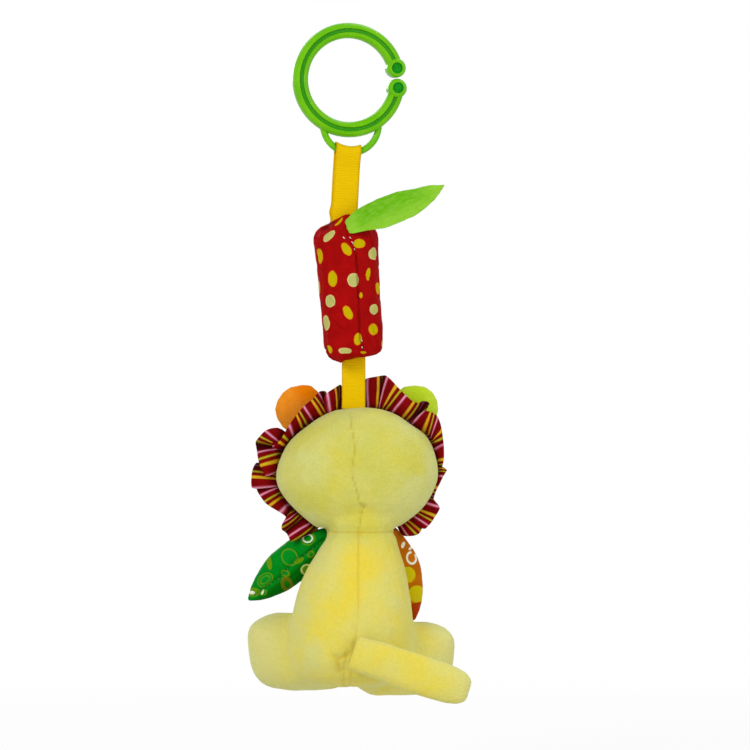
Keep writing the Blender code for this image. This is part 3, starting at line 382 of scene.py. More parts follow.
def sleeve_material():
    """Printed cotton: yellow and cream ovals on red, placed as the photograph shows them."""
    net = Net("sleeve_print", roughness=0.66, specular=0.02)
    uv = net.uv()
    inputs = {0: net.noise(uv, 260, 1.0, out="Color"), 1: (0.0007, 0.0007, 0), 2: uv}
    wobble = net.node("ShaderNodeVectorMath", inputs, operation="MULTIPLY_ADD")
    shifted = net.moved(wobble, (-0.00035, -0.00035, 0))
    across, down, _ = net.parts(shifted)
    red = net.mix(net.ramp(net.noise(uv, 120, 3.0), 0.35, 0.7), colour(156, 8, 8), colour(168, 11, 11))
    # Evener and a little darker past the closing seam: painted shade on that side of the seam.
    red = net.mix(net.ramp(across, SEAM_ARC - 0.0006, SEAM_ARC + 0.0006, 0.0, 0.55), red, colour(158, 10, 10))
    ovals = {"YELLOW": [], "CREAM": []}
    for angle, drop, half_across, half_down, tilt, ink in FRONT_OVALS:
        arc = math.radians(angle) * SLEEVE_MEAN_R
        ovals[ink].append((arc, -drop * MM, half_across * MM, half_down * MM, tilt))
    yellow, yellow_middle = net.inside(shifted, ovals["YELLOW"], 0.80)
    cream, cream_middle = net.inside(shifted, ovals["CREAM"], 0.84)
    back_yellow, back_cream, back_middle = back_print(net, across, down)
    yellow_middle, cream_middle = net.most(yellow_middle, back_middle), net.most(cream_middle, back_middle)
    yellow_tone = net.mix(yellow_middle, colour(214, 152, 14), colour(190, 172, 0))
    cream_tone = net.mix(cream_middle, colour(206, 202, 128), colour(184, 184, 102))
    tone = net.mix(net.most(yellow, back_yellow), red, yellow_tone)
    tone = net.mix(net.most(cream, back_cream), tone, cream_tone)
    # Darker along the closing seam's line, and painted shade in the pocket's hollow.
    tone = net.mix(net.times(net.mark("seam"), 0.62), tone, colour(74, 2, 3))
    normal = net.bump(net.noise(uv, 500, 3.0), 0.00025, 0.6)
    return net.finish(tone, weave(net, uv, 620, 0.00012, normal))


def mane_material():
    """Striped cotton: yellow, olive and pink lines on a red ground, across the strip."""
    net = Net("mane_stripes", roughness=0.66, specular=0.02)
    uv = net.uv()
    along = net.parts(uv)[0]
    turn = net.math("FRACT", net.math("DIVIDE", along, STRIPE_REPEAT))
    tone = net.mix(net.ramp(net.noise(uv, 150, 3.0), 0.35, 0.7), colour(112, 5, 8), colour(132, 9, 11))
    for centre, half, ink, core in STRIPES:
        spread = net.off(turn, centre)
        tone = net.mix(net.ramp(spread, half - 0.012, half + 0.012, 1.0, 0.0), tone, ink)
        tone = net.mix(net.ramp(spread, half * 0.35, half * 0.6, 1.0, 0.0), tone, core)
    # Painted shade from the marks: darker in the deep folds and along the root.
    tone = net.mix(net.times(net.mark("seam"), 0.84), tone, colour(34, 0, 3))
    normal = net.bump(net.noise(uv, 420, 3.0), 0.0003, 0.6)
    return net.finish(tone, weave(net, uv, 600, 0.00012, normal))


def leaf_material():
    """Brushed cloth: darker along the top, lighter in a band below and at both ends."""
    net = Net("leaf_brushed", roughness=0.92, specular=0.02, sheen=0.05, sheen_tint=colour(170, 225, 80))
    local = net.moved(net.place(), tuple(-LEAF_ROOT))
    along = net.dot(local, tuple(LEAF_ALONG))
    up = net.dot(local, tuple(LEAF_UP))
    brushed = net.noise(net.joined(net.times(along, 0.4), up, net.dot(local, (0, 1, 0))), 700, 4.0)
    cloud = net.noise(local, 160, 3.0)
    band = net.ramp(net.math("ADD", up, net.times(cloud, 0.004)), -0.0045, 0.0035, 1.0, 0.0)
    ends = net.most(net.ramp(along, 0.040, 0.056), net.ramp(along, 0.012, 0.002))
    light = net.most(net.times(band, 0.85), ends)
    tone = net.mix(light, colour(100, 174, 16), colour(136, 194, 48))
    tone = net.mix(net.ramp(brushed, 0.35, 0.75, 0.0, 0.34), tone, colour(156, 208, 82))
    tone = net.mix(net.times(net.mark("seam"), 0.6), tone, colour(78, 150, 16))
    normal = net.bump(cloud, 0.0006, 0.5)
    return net.finish(tone, net.bump(brushed, 0.0003, 0.8, normal))


def printed_arm_material(name, side, ground, low, painted_shade_tone, seam):
    """Printed cotton with rings and blobs, in a frame along the arm and across it, and painted shade on the panel past
    a given distance across it.
    """
    net = Net(name, roughness=0.62, specular=0.02)
    direction = ARM_DIRECTIONS[side]
    flat = Vector((direction.x, 0, direction.z)).normalized()
    cross = Vector((-flat.z, 0, flat.x))
    scale = direction.x * cross.z - direction.z * cross.x
    local = net.moved(net.place(), tuple(-Vector(JOINTS[f"arm_{side}_lift"]["pos_m"])))
    along = net.dot(local, (cross.z / scale, 0, -cross.x / scale))
    across = net.dot(local, (-direction.z / scale, 0, direction.x / scale))
    surface = net.joined(along, across)
    tone = net.mix(net.ramp(net.noise(net.place(), 130, 3.0), 0.35, 0.7), *ground)
    # Painted shade: darker past a distance across the arm, on its lower panel.
    tone = net.mix(net.ramp(across, *low), tone, painted_shade_tone)
    for u, v, half_along, half_across, tilt, ink, hole, hole_ink in ARM_MARKS[side]:
        size = (half_along * MM, half_across * MM, 1)
        spread = net.length(net.moved(surface, (u * MM, v * MM, 0), (0, 0, -math.radians(tilt)), size, "TEXTURE"))
        soft = 0.25 / max(half_along, half_across)
        if hole:
            ink = net.mix(net.ramp(spread, hole - soft, hole + soft, 1.0, 0.0), ink, hole_ink or ground[1])
        tone = net.mix(net.ramp(spread, 1 - soft, 1 + soft, 1.0, 0.0), tone, ink)
    tone = net.mix(net.times(net.mark("seam"), 0.6), tone, seam)
    normal = net.bump(net.noise(net.place(), 380, 3.0), 0.0003, 0.5)
    return net.finish(tone, weave(net, surface, 620, 0.00012, normal))


def satin_material(name, base, light):
    """Close rows of embroidery thread."""
    net = Net(name, roughness=0.38, specular=0.5, sheen=0.1, sheen_tint=light)
    place = net.place()
    threads = net.wave(net.moved(place, turn=(0, math.radians(24), 0)), 420, "X")
    tone = net.mix(threads, base, light)
    return net.finish(tone, net.bump(threads, 0.00015, 0.8))


def thread_material(name, base, light):
    """Twisted sewing thread."""
    net = Net(name, roughness=0.55, specular=0.35, sheen=0.1)
    place = net.place()
    twist = net.noise(place, 2600, 2.0)
    return net.finish(net.mix(net.ramp(twist, 0.3, 0.7), base, light), net.bump(twist, 0.00008, 0.6))


def wadding_material():
    """Loose white polyester fibre."""
    net = Net("wadding_fibre", roughness=0.95, specular=0.1, sheen=0.3)
    fibres = net.noise(net.place(), 900, 5.0)
    tone = net.mix(net.ramp(fibres, 0.3, 0.7), colour(214, 213, 208), colour(246, 246, 243))
    return net.finish(tone, net.bump(fibres, 0.0008, 0.8))


def moulded_material(name, base, light, roughness):
    """Plain moulded plastic with a fine texture."""
    net = Net(name, roughness=roughness, specular=0.45)
    grain = net.noise(net.place(), 1400, 2.0)
    cloud = net.noise(net.place(), 60, 2.0)
    return net.finish(net.mix(cloud, base, light), net.bump(grain, 0.00006, 0.5))


def metal_material(name, base, light, roughness):
    """Drawn metal with fine lines along its length."""
    net = Net(name, roughness=roughness, metallic=1.0)
    lines = net.noise(net.moved(net.place(), scale=(1, 1, 0.04)), 4000, 2.0)
    rough = net.ramp(lines, 0.3, 0.7, roughness * 0.7, roughness * 1.3)
    return net.finish(net.mix(lines, base, light), net.bump(lines, 0.00003, 0.5), rough)


# Mesh tools


def placed(name, data):
    thing = bpy.data.objects.new(name, data)
    bpy.context.collection.objects.link(thing)
    return thing


def modified(piece, kind, **settings):
    """Adds a modifier with these settings."""
    made_one = piece.modifiers.new(kind.lower(), kind)
    for name, value in settings.items():
        setattr(made_one, name, value)
    return made_one


def coated(piece, material):
    piece.data.materials.clear()
    piece.data.materials.append(material)


def made(name, points, faces, material, body, slot, uvs=None):
    """A smooth mesh piece that rides on a body, with its normals outward."""
    mesh = bpy.data.meshes.new(name)
    mesh.from_pydata([tuple(point) for point in points], [], faces)
    if uvs:
        layer = mesh.uv_layers.new(name="flat")
        for loop, place in zip(layer.data, (uv for face in uvs for uv in face)):
            loop.uv = place
    mesh.validate()
    mesh.update()
    piece = placed(name, mesh)
    mesh.calc_loop_triangles()
    triangles = np.empty(len(mesh.loop_triangles) * 3, np.int32)
    mesh.loop_triangles.foreach_get("vertices", triangles)
    first, second, third = (corners(piece)[triangles[start::3]] for start in range(3))
    if (first * np.cross(second, third)).sum() < 0:
        mesh.flip_normals()
    return dressed(piece, material, body)


def dressed(piece, material, body):
    coated(piece, material)
    piece.data.shade_smooth()
    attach(piece, body)
    return piece


def welded(name, nodes, squared=False):
    """These CAD nodes as one piece with their doubled corners joined, and its triangles paired if asked."""
    shape = bmesh.new()
    for node in nodes:
        shape.from_mesh(frame["nodes"][node].data)
    bmesh.ops.remove_doubles(shape, verts=shape.verts, dist=WELD)
    if squared:
        bmesh.ops.join_triangles(shape, faces=shape.faces, angle_face_threshold=0.8, angle_shape_threshold=1.2)
    mesh = bpy.data.meshes.new(name)
    shape.to_mesh(mesh)
    shape.free()
    return placed(name, mesh)


def remeshed(name, nodes, voxel, grow, rounds, fillet=0.0):
    """One even closed form over these CAD nodes, with its edges eased and its inner corners filled."""
    piece = welded(name, nodes)
    for push in (grow + fillet, -fillet):
        if push:
            modified(piece, "DISPLACE", mid_level=0, strength=push)
            modified(piece, "REMESH", mode="VOXEL", voxel_size=voxel)
    modified(piece, "SMOOTH", factor=0.5, iterations=rounds)
    return applied(piece)


def applied(piece):
    """The piece with what its modifiers make as its own mesh."""
    shown = piece.evaluated_get(bpy.context.evaluated_depsgraph_get())
    piece.data = bpy.data.meshes.new_from_object(shown)
    piece.modifiers.clear()
    return piece


def corners(piece, what="co"):
    """The places, or the normals, of a piece's corners."""
    values = np.empty(len(piece.data.vertices) * 3, np.float32)
    piece.data.vertices.foreach_get(what, values)
    return values.reshape(-1, 3).astype(float)


def put_corners(piece, places):
    piece.data.vertices.foreach_set("co", places.astype(np.float32).ravel())
    piece.data.update()


def put_mark(piece, name, values):
    """Marks the piece's corners for its material, keeping the stronger of old and new."""
    layer = piece.data.attributes.get(name) or piece.data.attributes.new(name, "FLOAT", "POINT")
    before = np.empty(len(values), np.float32)
    layer.data.foreach_get("value", before)
    layer.data.foreach_set("value", np.maximum(before, values).astype(np.float32))


def to_path(points, path):
    """For each point, how far the path is and how far along it the nearest place lies."""
    best = np.full(len(points), BEYOND)
    run = np.zeros(len(points))
    done = 0.0
    for first, second in zip(path, path[1:]):
        start, step = np.array(first), np.array(second - first)
        length = float(np.linalg.norm(step))
        share = np.clip((points - start) @ step / length**2, 0, 1)
        away = np.linalg.norm(points - start - share[:, None] * step, axis=1)
        nearer = away < best
        best[nearer] = away[nearer]
        run[nearer] = done + share[nearer] * length
        done += length
    return best, run


def press(piece, path, depth, reach, mark, pucker=0.0, pitch=0.006):
    """Draws the surface in along a seam, with puckers along it, and marks the seam's line."""
    places, normals = corners(piece), corners(piece, "normal")
    away, run = to_path(places, path)
    pull = depth * np.exp(-((away / reach) ** 2))
    pull += pucker * np.sin(math.tau * run / pitch) * np.exp(-((away / (reach * 2.2)) ** 2))
    put_corners(piece, places - normals * pull[:, None])
    # The mark darkens the line in the material: on a seam its own dark line, on a crease painted shade.
    put_mark(piece, "seam", np.exp(-((away / mark) ** 2)))


def crumple(piece, size, depth, seed=0.0):
    """Soft unevenness of stuffing under the cloth."""
    places, normals = corners(piece), corners(piece, "normal")
    push = np.array([noise.noise(Vector(place) / size + Vector((seed, seed, seed))) for place in places])
    put_corners(piece, places + normals * (push * depth)[:, None])


def blown_up(shell, seams, reach):
    """Simulates the shell as cloth under pressure, held along its seams: its corners, and how far each moves."""
    before = corners(shell)
    cloth = modified(shell, "CLOTH")
    cloth.settings.use_pressure = True
    cloth.settings.uniform_pressure_force = CLOTH_PRESSURE
    cloth.settings.effector_weights.gravity = 0
    cloth.settings.tension_stiffness = cloth.settings.compression_stiffness = CLOTH_STIFFNESS
    if seams:
        held = shell.vertex_groups.new(name="seams")
        for path in seams:
            away, _ = to_path(before, path)
            held.add([int(index) for index in np.nonzero(away < reach)[0]], 1.0, "REPLACE")
        cloth.settings.vertex_group_mass = "seams"
    cloth.point_cache.frame_start, cloth.point_cache.frame_end = 1, CLOTH_FRAMES
    for frame_number in range(1, CLOTH_FRAMES + 1):
        bpy.context.scene.frame_set(frame_number)
    moved = corners(applied(shell)) - before
    bpy.context.scene.frame_set(1)
    return before, moved


def stuffed(piece, voxel, cap, seams=()):
    """Presses the wadding out against the cloth: a coarser copy is simulated and its movement carried over."""
    shell = placed("shell", piece.data.copy())
    modified(shell, "REMESH", mode="VOXEL", voxel_size=voxel)
    before, moved = blown_up(applied(shell), seams, voxel * 0.8)
    far = np.linalg.norm(moved, axis=1)
    moved *= (np.minimum(far, cap * np.tanh(far / cap)) / np.maximum(far, 1e-9))[:, None]
    tree = KDTree(len(before))
    for index, point in enumerate(before):
        tree.insert(point, index)
    tree.balance()
    places = corners(piece)
    carried = np.zeros_like(places)
    for index, point in enumerate(places):
        near = tree.find_n(point, CARRY_POINTS)
        shares = np.array([1 / (distance + voxel * 0.25) ** 2 for _, _, distance in near])
        carried[index] = shares @ moved[[found for _, found, _ in near]] / shares.sum()
    inward = corners(piece, "normal") * (np.linalg.norm(carried, axis=1).mean() * CLOTH_SHRINK)
    put_corners(piece, places + carried - inward)
    bpy.data.objects.remove(shell)


def surface_of(piece):
    return BVHTree.FromPolygons(
        [vertex.co for vertex in piece.data.vertices], [face.vertices for face in piece.data.polygons]
    )


def onto(piece, points, direction, back=1.0, tree=None):
    """These points moved along a direction onto the piece, from this far back."""
    tree = tree or surface_of(piece)
    hits = (tree.ray_cast(point - direction * back, direction)[0] for point in points)
    return [hit for hit in hits if hit is not None]


def smooth_path(points, count, steps=12):
    """A smooth line through these points, with this many points."""
    fine, last = [], len(points) - 1
    for index in range(last):
        p0, p1, p2, p3 = (points[min(max(index + at, 0), last)] for at in (-1, 0, 1, 2))
        for t in (step / steps for step in range(steps)):
            square = p0 * 2 - p1 * 5 + p2 * 4 - p3
            cube = p1 * 3 - p0 - p2 * 3 + p3
            fine.append((p1 * 2 + (p2 - p0) * t + square * t**2 + cube * t**3) / 2)
    fine.append(points[-1])
    lengths = [0.0]
    for first, second in zip(fine, fine[1:]):
        lengths.append(lengths[-1] + (second - first).length)
    even, index = [], 0
    for step in range(count):
        target = lengths[-1] * step / (count - 1)
        while index < len(fine) - 2 and lengths[index + 1] < target:
            index += 1
        share = (target - lengths[index]) / max(lengths[index + 1] - lengths[index], 1e-9)
        even.append(fine[index].lerp(fine[index + 1], min(max(share, 0), 1)))
    return even


def between(pairs, place):
    """The value at a place between those of a list of pairs."""
    return float(np.interp(place, [row[0] for row in pairs], [row[1] for row in pairs]))


def skinned(rings):
    """Points and faces through rings of equal count, closed at both ends."""
    count = len(rings[0])
    points = [point for ring in rings for point in ring]
    faces = []
    for low in range(0, len(points) - count, count):
        for step in range(count):
            after = (step + 1) % count
            faces.append((low + step, low + after, low + count + after, low + count + step))
    faces.append(tuple(range(count))[::-1])
    faces.append(tuple(range(len(points) - count, len(points))))
    return points, faces


def unrolled(faces, flats):
    """Where each face's corners lie on the flat cloth, from those of the rings."""
    count = len(flats[0])
    return [[flats[corner // count][corner % count] for corner in face] for face in faces]


def tubes(paths, radius, sides):
    """Points and faces of a thread round each path, drawn in at both ends."""
    points, faces = [], []
    for path in paths:
        rings, last = [], len(path) - 1
        for index, point in enumerate(path):
            along = (path[min(index + 1, last)] - path[max(index - 1, 0)]).normalized()
            first = along.cross(UP if abs(along.z) < 0.9 else AWAY).normalized()
            second = along.cross(first)
            size = radius * min(1.0, 0.35 + min(index, last - index) / max(last, 1) * 5)
            turns = [math.tau * step / sides for step in range(sides)]
            rings.append([point + (first * math.cos(turn) + second * math.sin(turn)) * size for turn in turns])
        more, around = skinned(rings)
        faces += [tuple(corner + len(points) for corner in face) for face in around]
        points += more
    return points, faces


def stitches(name, surface, runs, radius, lift, material, body, slot):
    """Short raised threads over the back of a surface, each bent down at its ends."""
    lines = []
    for start, end in runs:
        line = onto(surface, [start.lerp(end, step / 6) for step in range(7)], AWAY)
        last = len(line) - 1
        if last > 1:
            lines.append([point - AWAY * lift * math.sin(math.pi * i / last) for i, point in enumerate(line)])
    return made(name, *tubes(lines, radius, 6), material, body, slot)


# Hang ring

RING_INNER_R = 0.0234
RING_BAND = 0.0087
RING_DEPTH = 0.0086
RING_MID_R = RING_INNER_R + RING_BAND / 2
RING_YAW = math.radians(13.0)
RING_ROLL = math.radians(3.0)
GROOVE_HALF = 0.0012
DIMPLE_R = 0.0030
KNOB_R = 0.0050
KNOB_ANGLES = (math.radians(11.4), math.radians(-11.4))


def ring_centre():
    return Vector((0, 0, -RING_INNER_R))


def dress_ring():
    coated(frame["nodes"]["hang_ring"], ring_material())


# Ribbons

RIBBON_WIDTH = 0.0144
RIBBON_THICK = 0.0005
BAR_MID_R = 0.0160
LOWER_RIBBON_WIDTH = 0.0132
LOWER_RIBBON_THICK = 0.0009
RIBBON_COLUMNS = 13
RIBBON_BOW = 0.0003
BEND_REACH = 0.011
# How far behind the middle line the ribbon runs and how far down, in millimetres
FOLD_LINE = (
    (0.42, 39.4),
    (0.42, 30.0),
    (0.42, 20.0),
    (0.42, 13.0),
    (0.8, 9.5),
    (2.0, 5.0),
    (2.85, 1.8),
    (3.0, 0.0),
    (2.2, -1.95),
    (0.0, -2.7),
    (-2.2, -1.95),
    (-3.0, 0.0),
    (-2.85, 1.8),
    (-2.0, 5.0),
    (-0.8, 9.5),
    (-0.42, 13.0),
    (-0.42, 20.0),
    (-0.42, 30.0),
    (-0.42, 39.4),
)
BACK_PLY_SHIFT = 0.0007
FLARE = 0.0009
FLARE_RISE = 0.0035
FLARE_REACH = 0.0028


def across_ribbon(width):
    return [width * (step / (RIBBON_COLUMNS - 1) - 0.5) for step in range(RIBBON_COLUMNS)]


def banded(name, rows, widths, thick, material, body):
    """A ribbon on rows of points: two faces with a rounded edge, and its flat size in its UVs."""
    rings, flats = [], []
    run, last = 0.0, len(rows) - 1
    for index, row in enumerate(rows):
        ahead, behind = rows[min(index + 1, last)], rows[max(index - 1, 0)]
        middle = len(row) // 2
        if index:
            run += (row[middle] - rows[index - 1][middle]).length
        upper, lower = [], []
        for place, point in enumerate(row):
            across = row[min(place + 1, len(row) - 1)] - row[max(place - 1, 0)]
            normal = (ahead[place] - behind[place]).cross(across).normalized() * thick / 2
            edge = 0.55 if place in (0, len(row) - 1) else 1.0
            upper.append(point + normal * edge)
            lower.append(point - normal * edge)
        rings.append(upper + lower[::-1])
        flats.append([(width, run) for width in widths + widths[::-1]])
    points, faces = skinned(rings)
    return made(name, points, faces, material, body, "ribbon", unrolled(faces, flats)), run


def make_upper_ribbon(material):
    """The doubled ribbon: up one ply, round the ring's bar and down the other."""
    upper, lower = JOINTS["ribbon_swing"], JOINTS["sleeve_swing"]
    top, bottom = Vector(upper["pos_m"]), Vector(lower["pos_m"])
    down, full = (bottom - top).normalized(), (bottom - top).length
    line = smooth_path([Vector((offset, distance, 0)) * MM for offset, distance in FOLD_LINE], 150)
    widths = across_ribbon(RIBBON_WIDTH)
    rows = []
    for index, (offset, distance, _) in enumerate(line):
        wide = Vector(upper["axis"]).lerp(Vector(lower["axis"]), min(max(distance / full, 0), 1)).normalized()
        facing = wide.cross(down).normalized()
        bend = 1 - min(max(distance / BEND_REACH, 0), 1)
        behind = index < len(line) / 2
        near_foot = FLARE * math.exp(-(((distance - full + FLARE_RISE) / FLARE_REACH) ** 2))
        ply_shift = BACK_PLY_SHIFT * min(1, max(0, distance) / 0.012) if behind else 0
        row = []
        for width in widths:
            rise = BAR_MID_R - math.sqrt(BAR_MID_R**2 - width**2)
            shift = -near_foot * max(0, -width) / RIBBON_WIDTH * 2 - ply_shift
            bow = RIBBON_BOW * math.cos(math.pi * width / RIBBON_WIDTH) * (1 if behind else -1) * (1 - bend)
            row.append(top + down * distance + facing * (offset + bow) + wide * (width + shift) - down * rise * bend)
        rows.append(row)
    ribbon, run = banded("upper_ribbon", rows, widths, RIBBON_THICK, material, "ribbon")
    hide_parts("upper_strap")


def make_lower_ribbon(material):
    """The single ribbon from the sleeve's foot to the top of the head."""
    upper, lower = JOINTS["strap_swing"], JOINTS["lion_swing"]
    top, bottom = Vector(upper["pos_m"]), Vector(lower["pos_m"])
    tilt = -upper["axis"][2] / upper["axis"][0]
    widths = across_ribbon(LOWER_RIBBON_WIDTH)
    rows = []
    for share in (step / 40 for step in range(41)):
        middle = top.lerp(bottom, share) + UP * 0.0006 * (1 - 2 * share)
        row = []
        for width in widths:
            bow = RIBBON_BOW * math.cos(math.pi * width / LOWER_RIBBON_WIDTH) * math.sin(math.pi * share)
            row.append(middle + Vector((width, -bow, -tilt * width * (1 - share))))
        rows.append(row)
    ribbon, run = banded("lower_ribbon_band", rows, widths, LOWER_RIBBON_THICK, material, "lower_ribbon")
    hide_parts("lower_strap")


# Sleeve, in its own frame: its origin is the upper hinge and its axis runs down

SLEEVE_LENGTH = 0.0791
SLEEVE_TILT = math.radians(3.7)
SLEEVE_TOP_R = 0.0178
SLEEVE_BASE_R = 0.0156
SLEEVE_MEAN_R = (SLEEVE_TOP_R + SLEEVE_BASE_R) / 2
SLEEVE_FLATNESS_SHARE = 0.94
SLEEVE_POWER = 2.3
SLEEVE_COLUMNS = 200
SLEEVE_ROWS = 150
SHOULDER_DROP = 0.0130
CREST_DEPTH = 0.0024
DOME_SHARES = ((0.0, 0.46, 0.0), (0.10, 0.60, 0.16), (0.28, 0.74, 0.40), (0.52, 0.88, 0.68), (0.78, 0.97, 0.90))
FOOT_SHARES = ((0.90, 1.0), (0.945, 0.985), (0.975, 0.93), (0.995, 0.80), (1.006, 0.58), (1.010, 0.34), (1.011, 0.12))
SEAM_ANGLES = (
    (-80.0, 20.0),
    (-73.1, 18.8),
    (-66.8, 14.2),
    (-54.5, 15.3),
    (-33.8, 17.4),
    (-19.2, 15.3),
    (-10.0, 1.7),
    (-5.0, -4.0),
    (0.0, -6.0),
)
SEAM_ARC = math.radians(15.5) * SLEEVE_MEAN_R
SEAM_STEP = 0.0009
BACK_ARC = math.radians(92.0) * SLEEVE_MEAN_R
BACK_CELL = (0.0096, 0.0118)
BACK_OVAL = (0.0026, 0.0039)
# Height of the foot and of the crest's lip across the sleeve, both in millimetres
FOOT_LIFT = ((-16.0, 1.8), (-12.6, 2.1), (-10.5, 1.2), (-7.4, -0.5), (-4.8, 1.2), (-1.4, 1.5), (5.3, 0.4), (11.5, 0.0))
CREST_LIFT = ((-9.0, -2.4), (-6.5, -1.7), (0.5, 1.5), (3.0, 1.3), (8.0, 0.0))
# Pixels of the pocket's hollow, where shade is painted into the cloth
POCKET = ((323.5, 229.5), (327.5, 226.5), (332.5, 223.5))
# Dents and bulges of the cloth: how far out, angle and its spread, height, its reach and its fall to each degree
SLEEVE_DENTS = (
    (-0.0026, -44, 15, -0.0062, 0.0017, 0.00006),
    (0.0007, -48, 18, -0.00956, 0.0022, 0.00006),
    (0.0013, 85, 35, -0.068, 0.012, 0.0),
    (-0.0014, -85, 30, -0.0775, 0.0045, 0.0),
)
PADDING_GAP = 0.0004
SLEEVE_STITCHES = (
    ((343.2, 237.6), (344.9, 239.8)),
    ((349.4, 237.9), (351.2, 239.6)),
    ((351.6, 242.2), (353.2, 244.6)),
    ((354.2, 249.0), (355.0, 251.2)),
    ((361.2, 339.6), (362.4, 341.6)),
    ((361.8, 346.6), (362.6, 348.6)),
)
# Printed ovals: angle round the sleeve, millimetres down it, half sizes, tilt and ink
FRONT_OVALS = (
    (-31, 10.5, 3.9, 2.1, -45, "CREAM"),
    (-15, 2.6, 3.2, 1.0, -30, "YELLOW"),
    (-57, 21.1, 3.1, 4.3, 0, "YELLOW"),
    (0, 18.4, 2.1, 4.0, -25, "YELLOW"),
    (24, 15.6, 3.3, 2.6, 0, "YELLOW"),
    (55, 21.7, 3.8, 3.5, 0, "CREAM"),
    (39, 32.9, 1.4, 3.6, 8, "YELLOW"),
    (-30, 34.2, 2.8, 4.5, 0, "YELLOW"),
    (9, 35.7, 3.2, 3.8, 0, "CREAM"),
    (71, 40.9, 3.7, 3.4, 0, "YELLOW"),
    (22, 44.4, 0.9, 1.7, 0, "YELLOW"),
    (-39, 46.4, 3.3, 3.4, 0, "CREAM"),
    (51, 52.6, 3.2, 2.9, -12, "CREAM"),
    (-5, 53.6, 2.3, 4.1, -22, "YELLOW"),
    (-55, 58.5, 3.2, 4.3, -5, "CREAM"),
    (46, 63.8, 3.5, 3.2, 12, "YELLOW"),
    (11, 68.6, 2.3, 3.5, 12, "YELLOW"),
    (-78, 38.1, 2.4, 3.6, 0, "YELLOW"),
    (80, 71.8, 2.8, 3.0, 0, "CREAM"),
    (-56, 73.9, 3.3, 2.7, -30, "YELLOW"),
    (-16, 74.9, 1.7, 3.9, -75, "CREAM"),
    (22, 76.6, 2.1, 0.9, 10, "YELLOW"),
)


def sleeve_world(point):
    """From the sleeve's own frame into the scene's."""
    return Vector(JOINTS["sleeve_swing"]["pos_m"]) + Quaternion((0, 1, 0), -SLEEVE_TILT) @ point


def sleeve_levels():
    """(height, half width, half depth) of each ring, from the crest down."""
    full_deep = SLEEVE_TOP_R * SLEEVE_FLATNESS_SHARE
    rows = []
    for drop, wide, deep in DOME_SHARES:
        rows.append((-SHOULDER_DROP * drop, SLEEVE_TOP_R * wide, CREST_DEPTH + (full_deep - CREST_DEPTH) * deep))
    for step in range(13):
        share = step / 12
        height = -SHOULDER_DROP + (-SLEEVE_LENGTH * FOOT_SHARES[0][0] + SHOULDER_DROP) * share
        radius = SLEEVE_TOP_R + (SLEEVE_BASE_R - SLEEVE_TOP_R) * (height + SHOULDER_DROP) / (
            SHOULDER_DROP - SLEEVE_LENGTH
        )
        rows.append((height, radius, radius * SLEEVE_FLATNESS_SHARE))
    for drop, share in FOOT_SHARES[1:]:
        radius = SLEEVE_BASE_R * share
        rows.append((-SLEEVE_LENGTH * drop, radius, radius * SLEEVE_FLATNESS_SHARE))
    return rows


def bell(value, reach):
    return math.exp(-((value / reach) ** 2))


def sleeve_bend(angle, height, radius):
    """How far the cloth stands out from the plain tube, with its seam, folds and creases."""
    seam = between(SEAM_ANGLES, height / MM)
    arc = math.radians(angle - seam) * radius
    out = SEAM_STEP * (bell(arc, 0.009) if arc < 0 else -0.35 * bell(arc, 0.002))
    out *= min(1, max(0, -height - 0.004) / 0.008)
    turn = math.radians(angle)
    out += 0.00055 * bell(height + 0.0075, 0.0058) * (math.sin(9 * turn + 0.7) + 0.6 * math.sin(15 * turn + 2.1))
    near_foot = bell(height + SLEEVE_LENGTH - 0.0025, 0.0045)
    out += 0.00050 * near_foot * (math.sin(11 * turn + 0.3) + 0.5 * math.sin(19 * turn))
    for far, centre, spread, level, reach, fall in SLEEVE_DENTS:
        out += far * bell(angle - centre, spread) * bell(height - level + fall * (angle - centre), reach)
    place = Vector((math.sin(turn) * 2.2, math.cos(turn) * 2.2, height / 0.022))
    out += 0.00075 * noise.noise(place) + 0.0003 * noise.noise(place * 2.7)
    crease = noise.noise(Vector((math.sin(turn) * 1.4 + 5, math.cos(turn) * 1.4, height / 0.013 + angle / 60)))
    return out - 0.0006 * bell(crease, 0.07)


def sleeve_ring(height, wide, deep):
    """One ring of the sleeve's cloth, and where its points lie on the flat cloth."""
    full = min(1.0, deep / (SLEEVE_BASE_R * SLEEVE_FLATNESS_SHARE))
    from_foot = height + SLEEVE_LENGTH
    ring, flat = [], []
    for step in range(SLEEVE_COLUMNS):
        angle = 360 * step / SLEEVE_COLUMNS - 180
        turn = math.radians(angle)
        side, front = math.sin(turn), -math.cos(turn)
        round_off = (abs(side) ** SLEEVE_POWER + abs(front) ** SLEEVE_POWER) ** (-1 / SLEEVE_POWER)
        across = Vector((side * wide, front * deep, 0)) * round_off
        across += Vector((side, front, 0)) * sleeve_bend(angle, height, SLEEVE_MEAN_R) * full
        lift = 0.0012 * bell(from_foot, 0.004) * math.sin(turn - 0.4)
        lift += between(CREST_LIFT, across.x / MM) * MM * bell(height, 0.0035)
        lift += between(FOOT_LIFT, across.x / MM) * MM * bell(from_foot, 0.005) * (1 if front < 0 else 0.3)
        ring.append(sleeve_world(across + UP * (height + lift)))
        flat.append((turn * SLEEVE_MEAN_R, height))
    return ring, flat


def sleeve_uvs(faces, flats):
    """The flat places of the sleeve's faces, with those over its far edge carried on past it."""
    uvs = unrolled(faces, flats)
    for places in uvs:
        if max(across for across, _ in places) - min(across for across, _ in places) > SLEEVE_MEAN_R:
            places[:] = [(across + (math.tau * SLEEVE_MEAN_R if across < 0 else 0), down) for across, down in places]
    return uvs


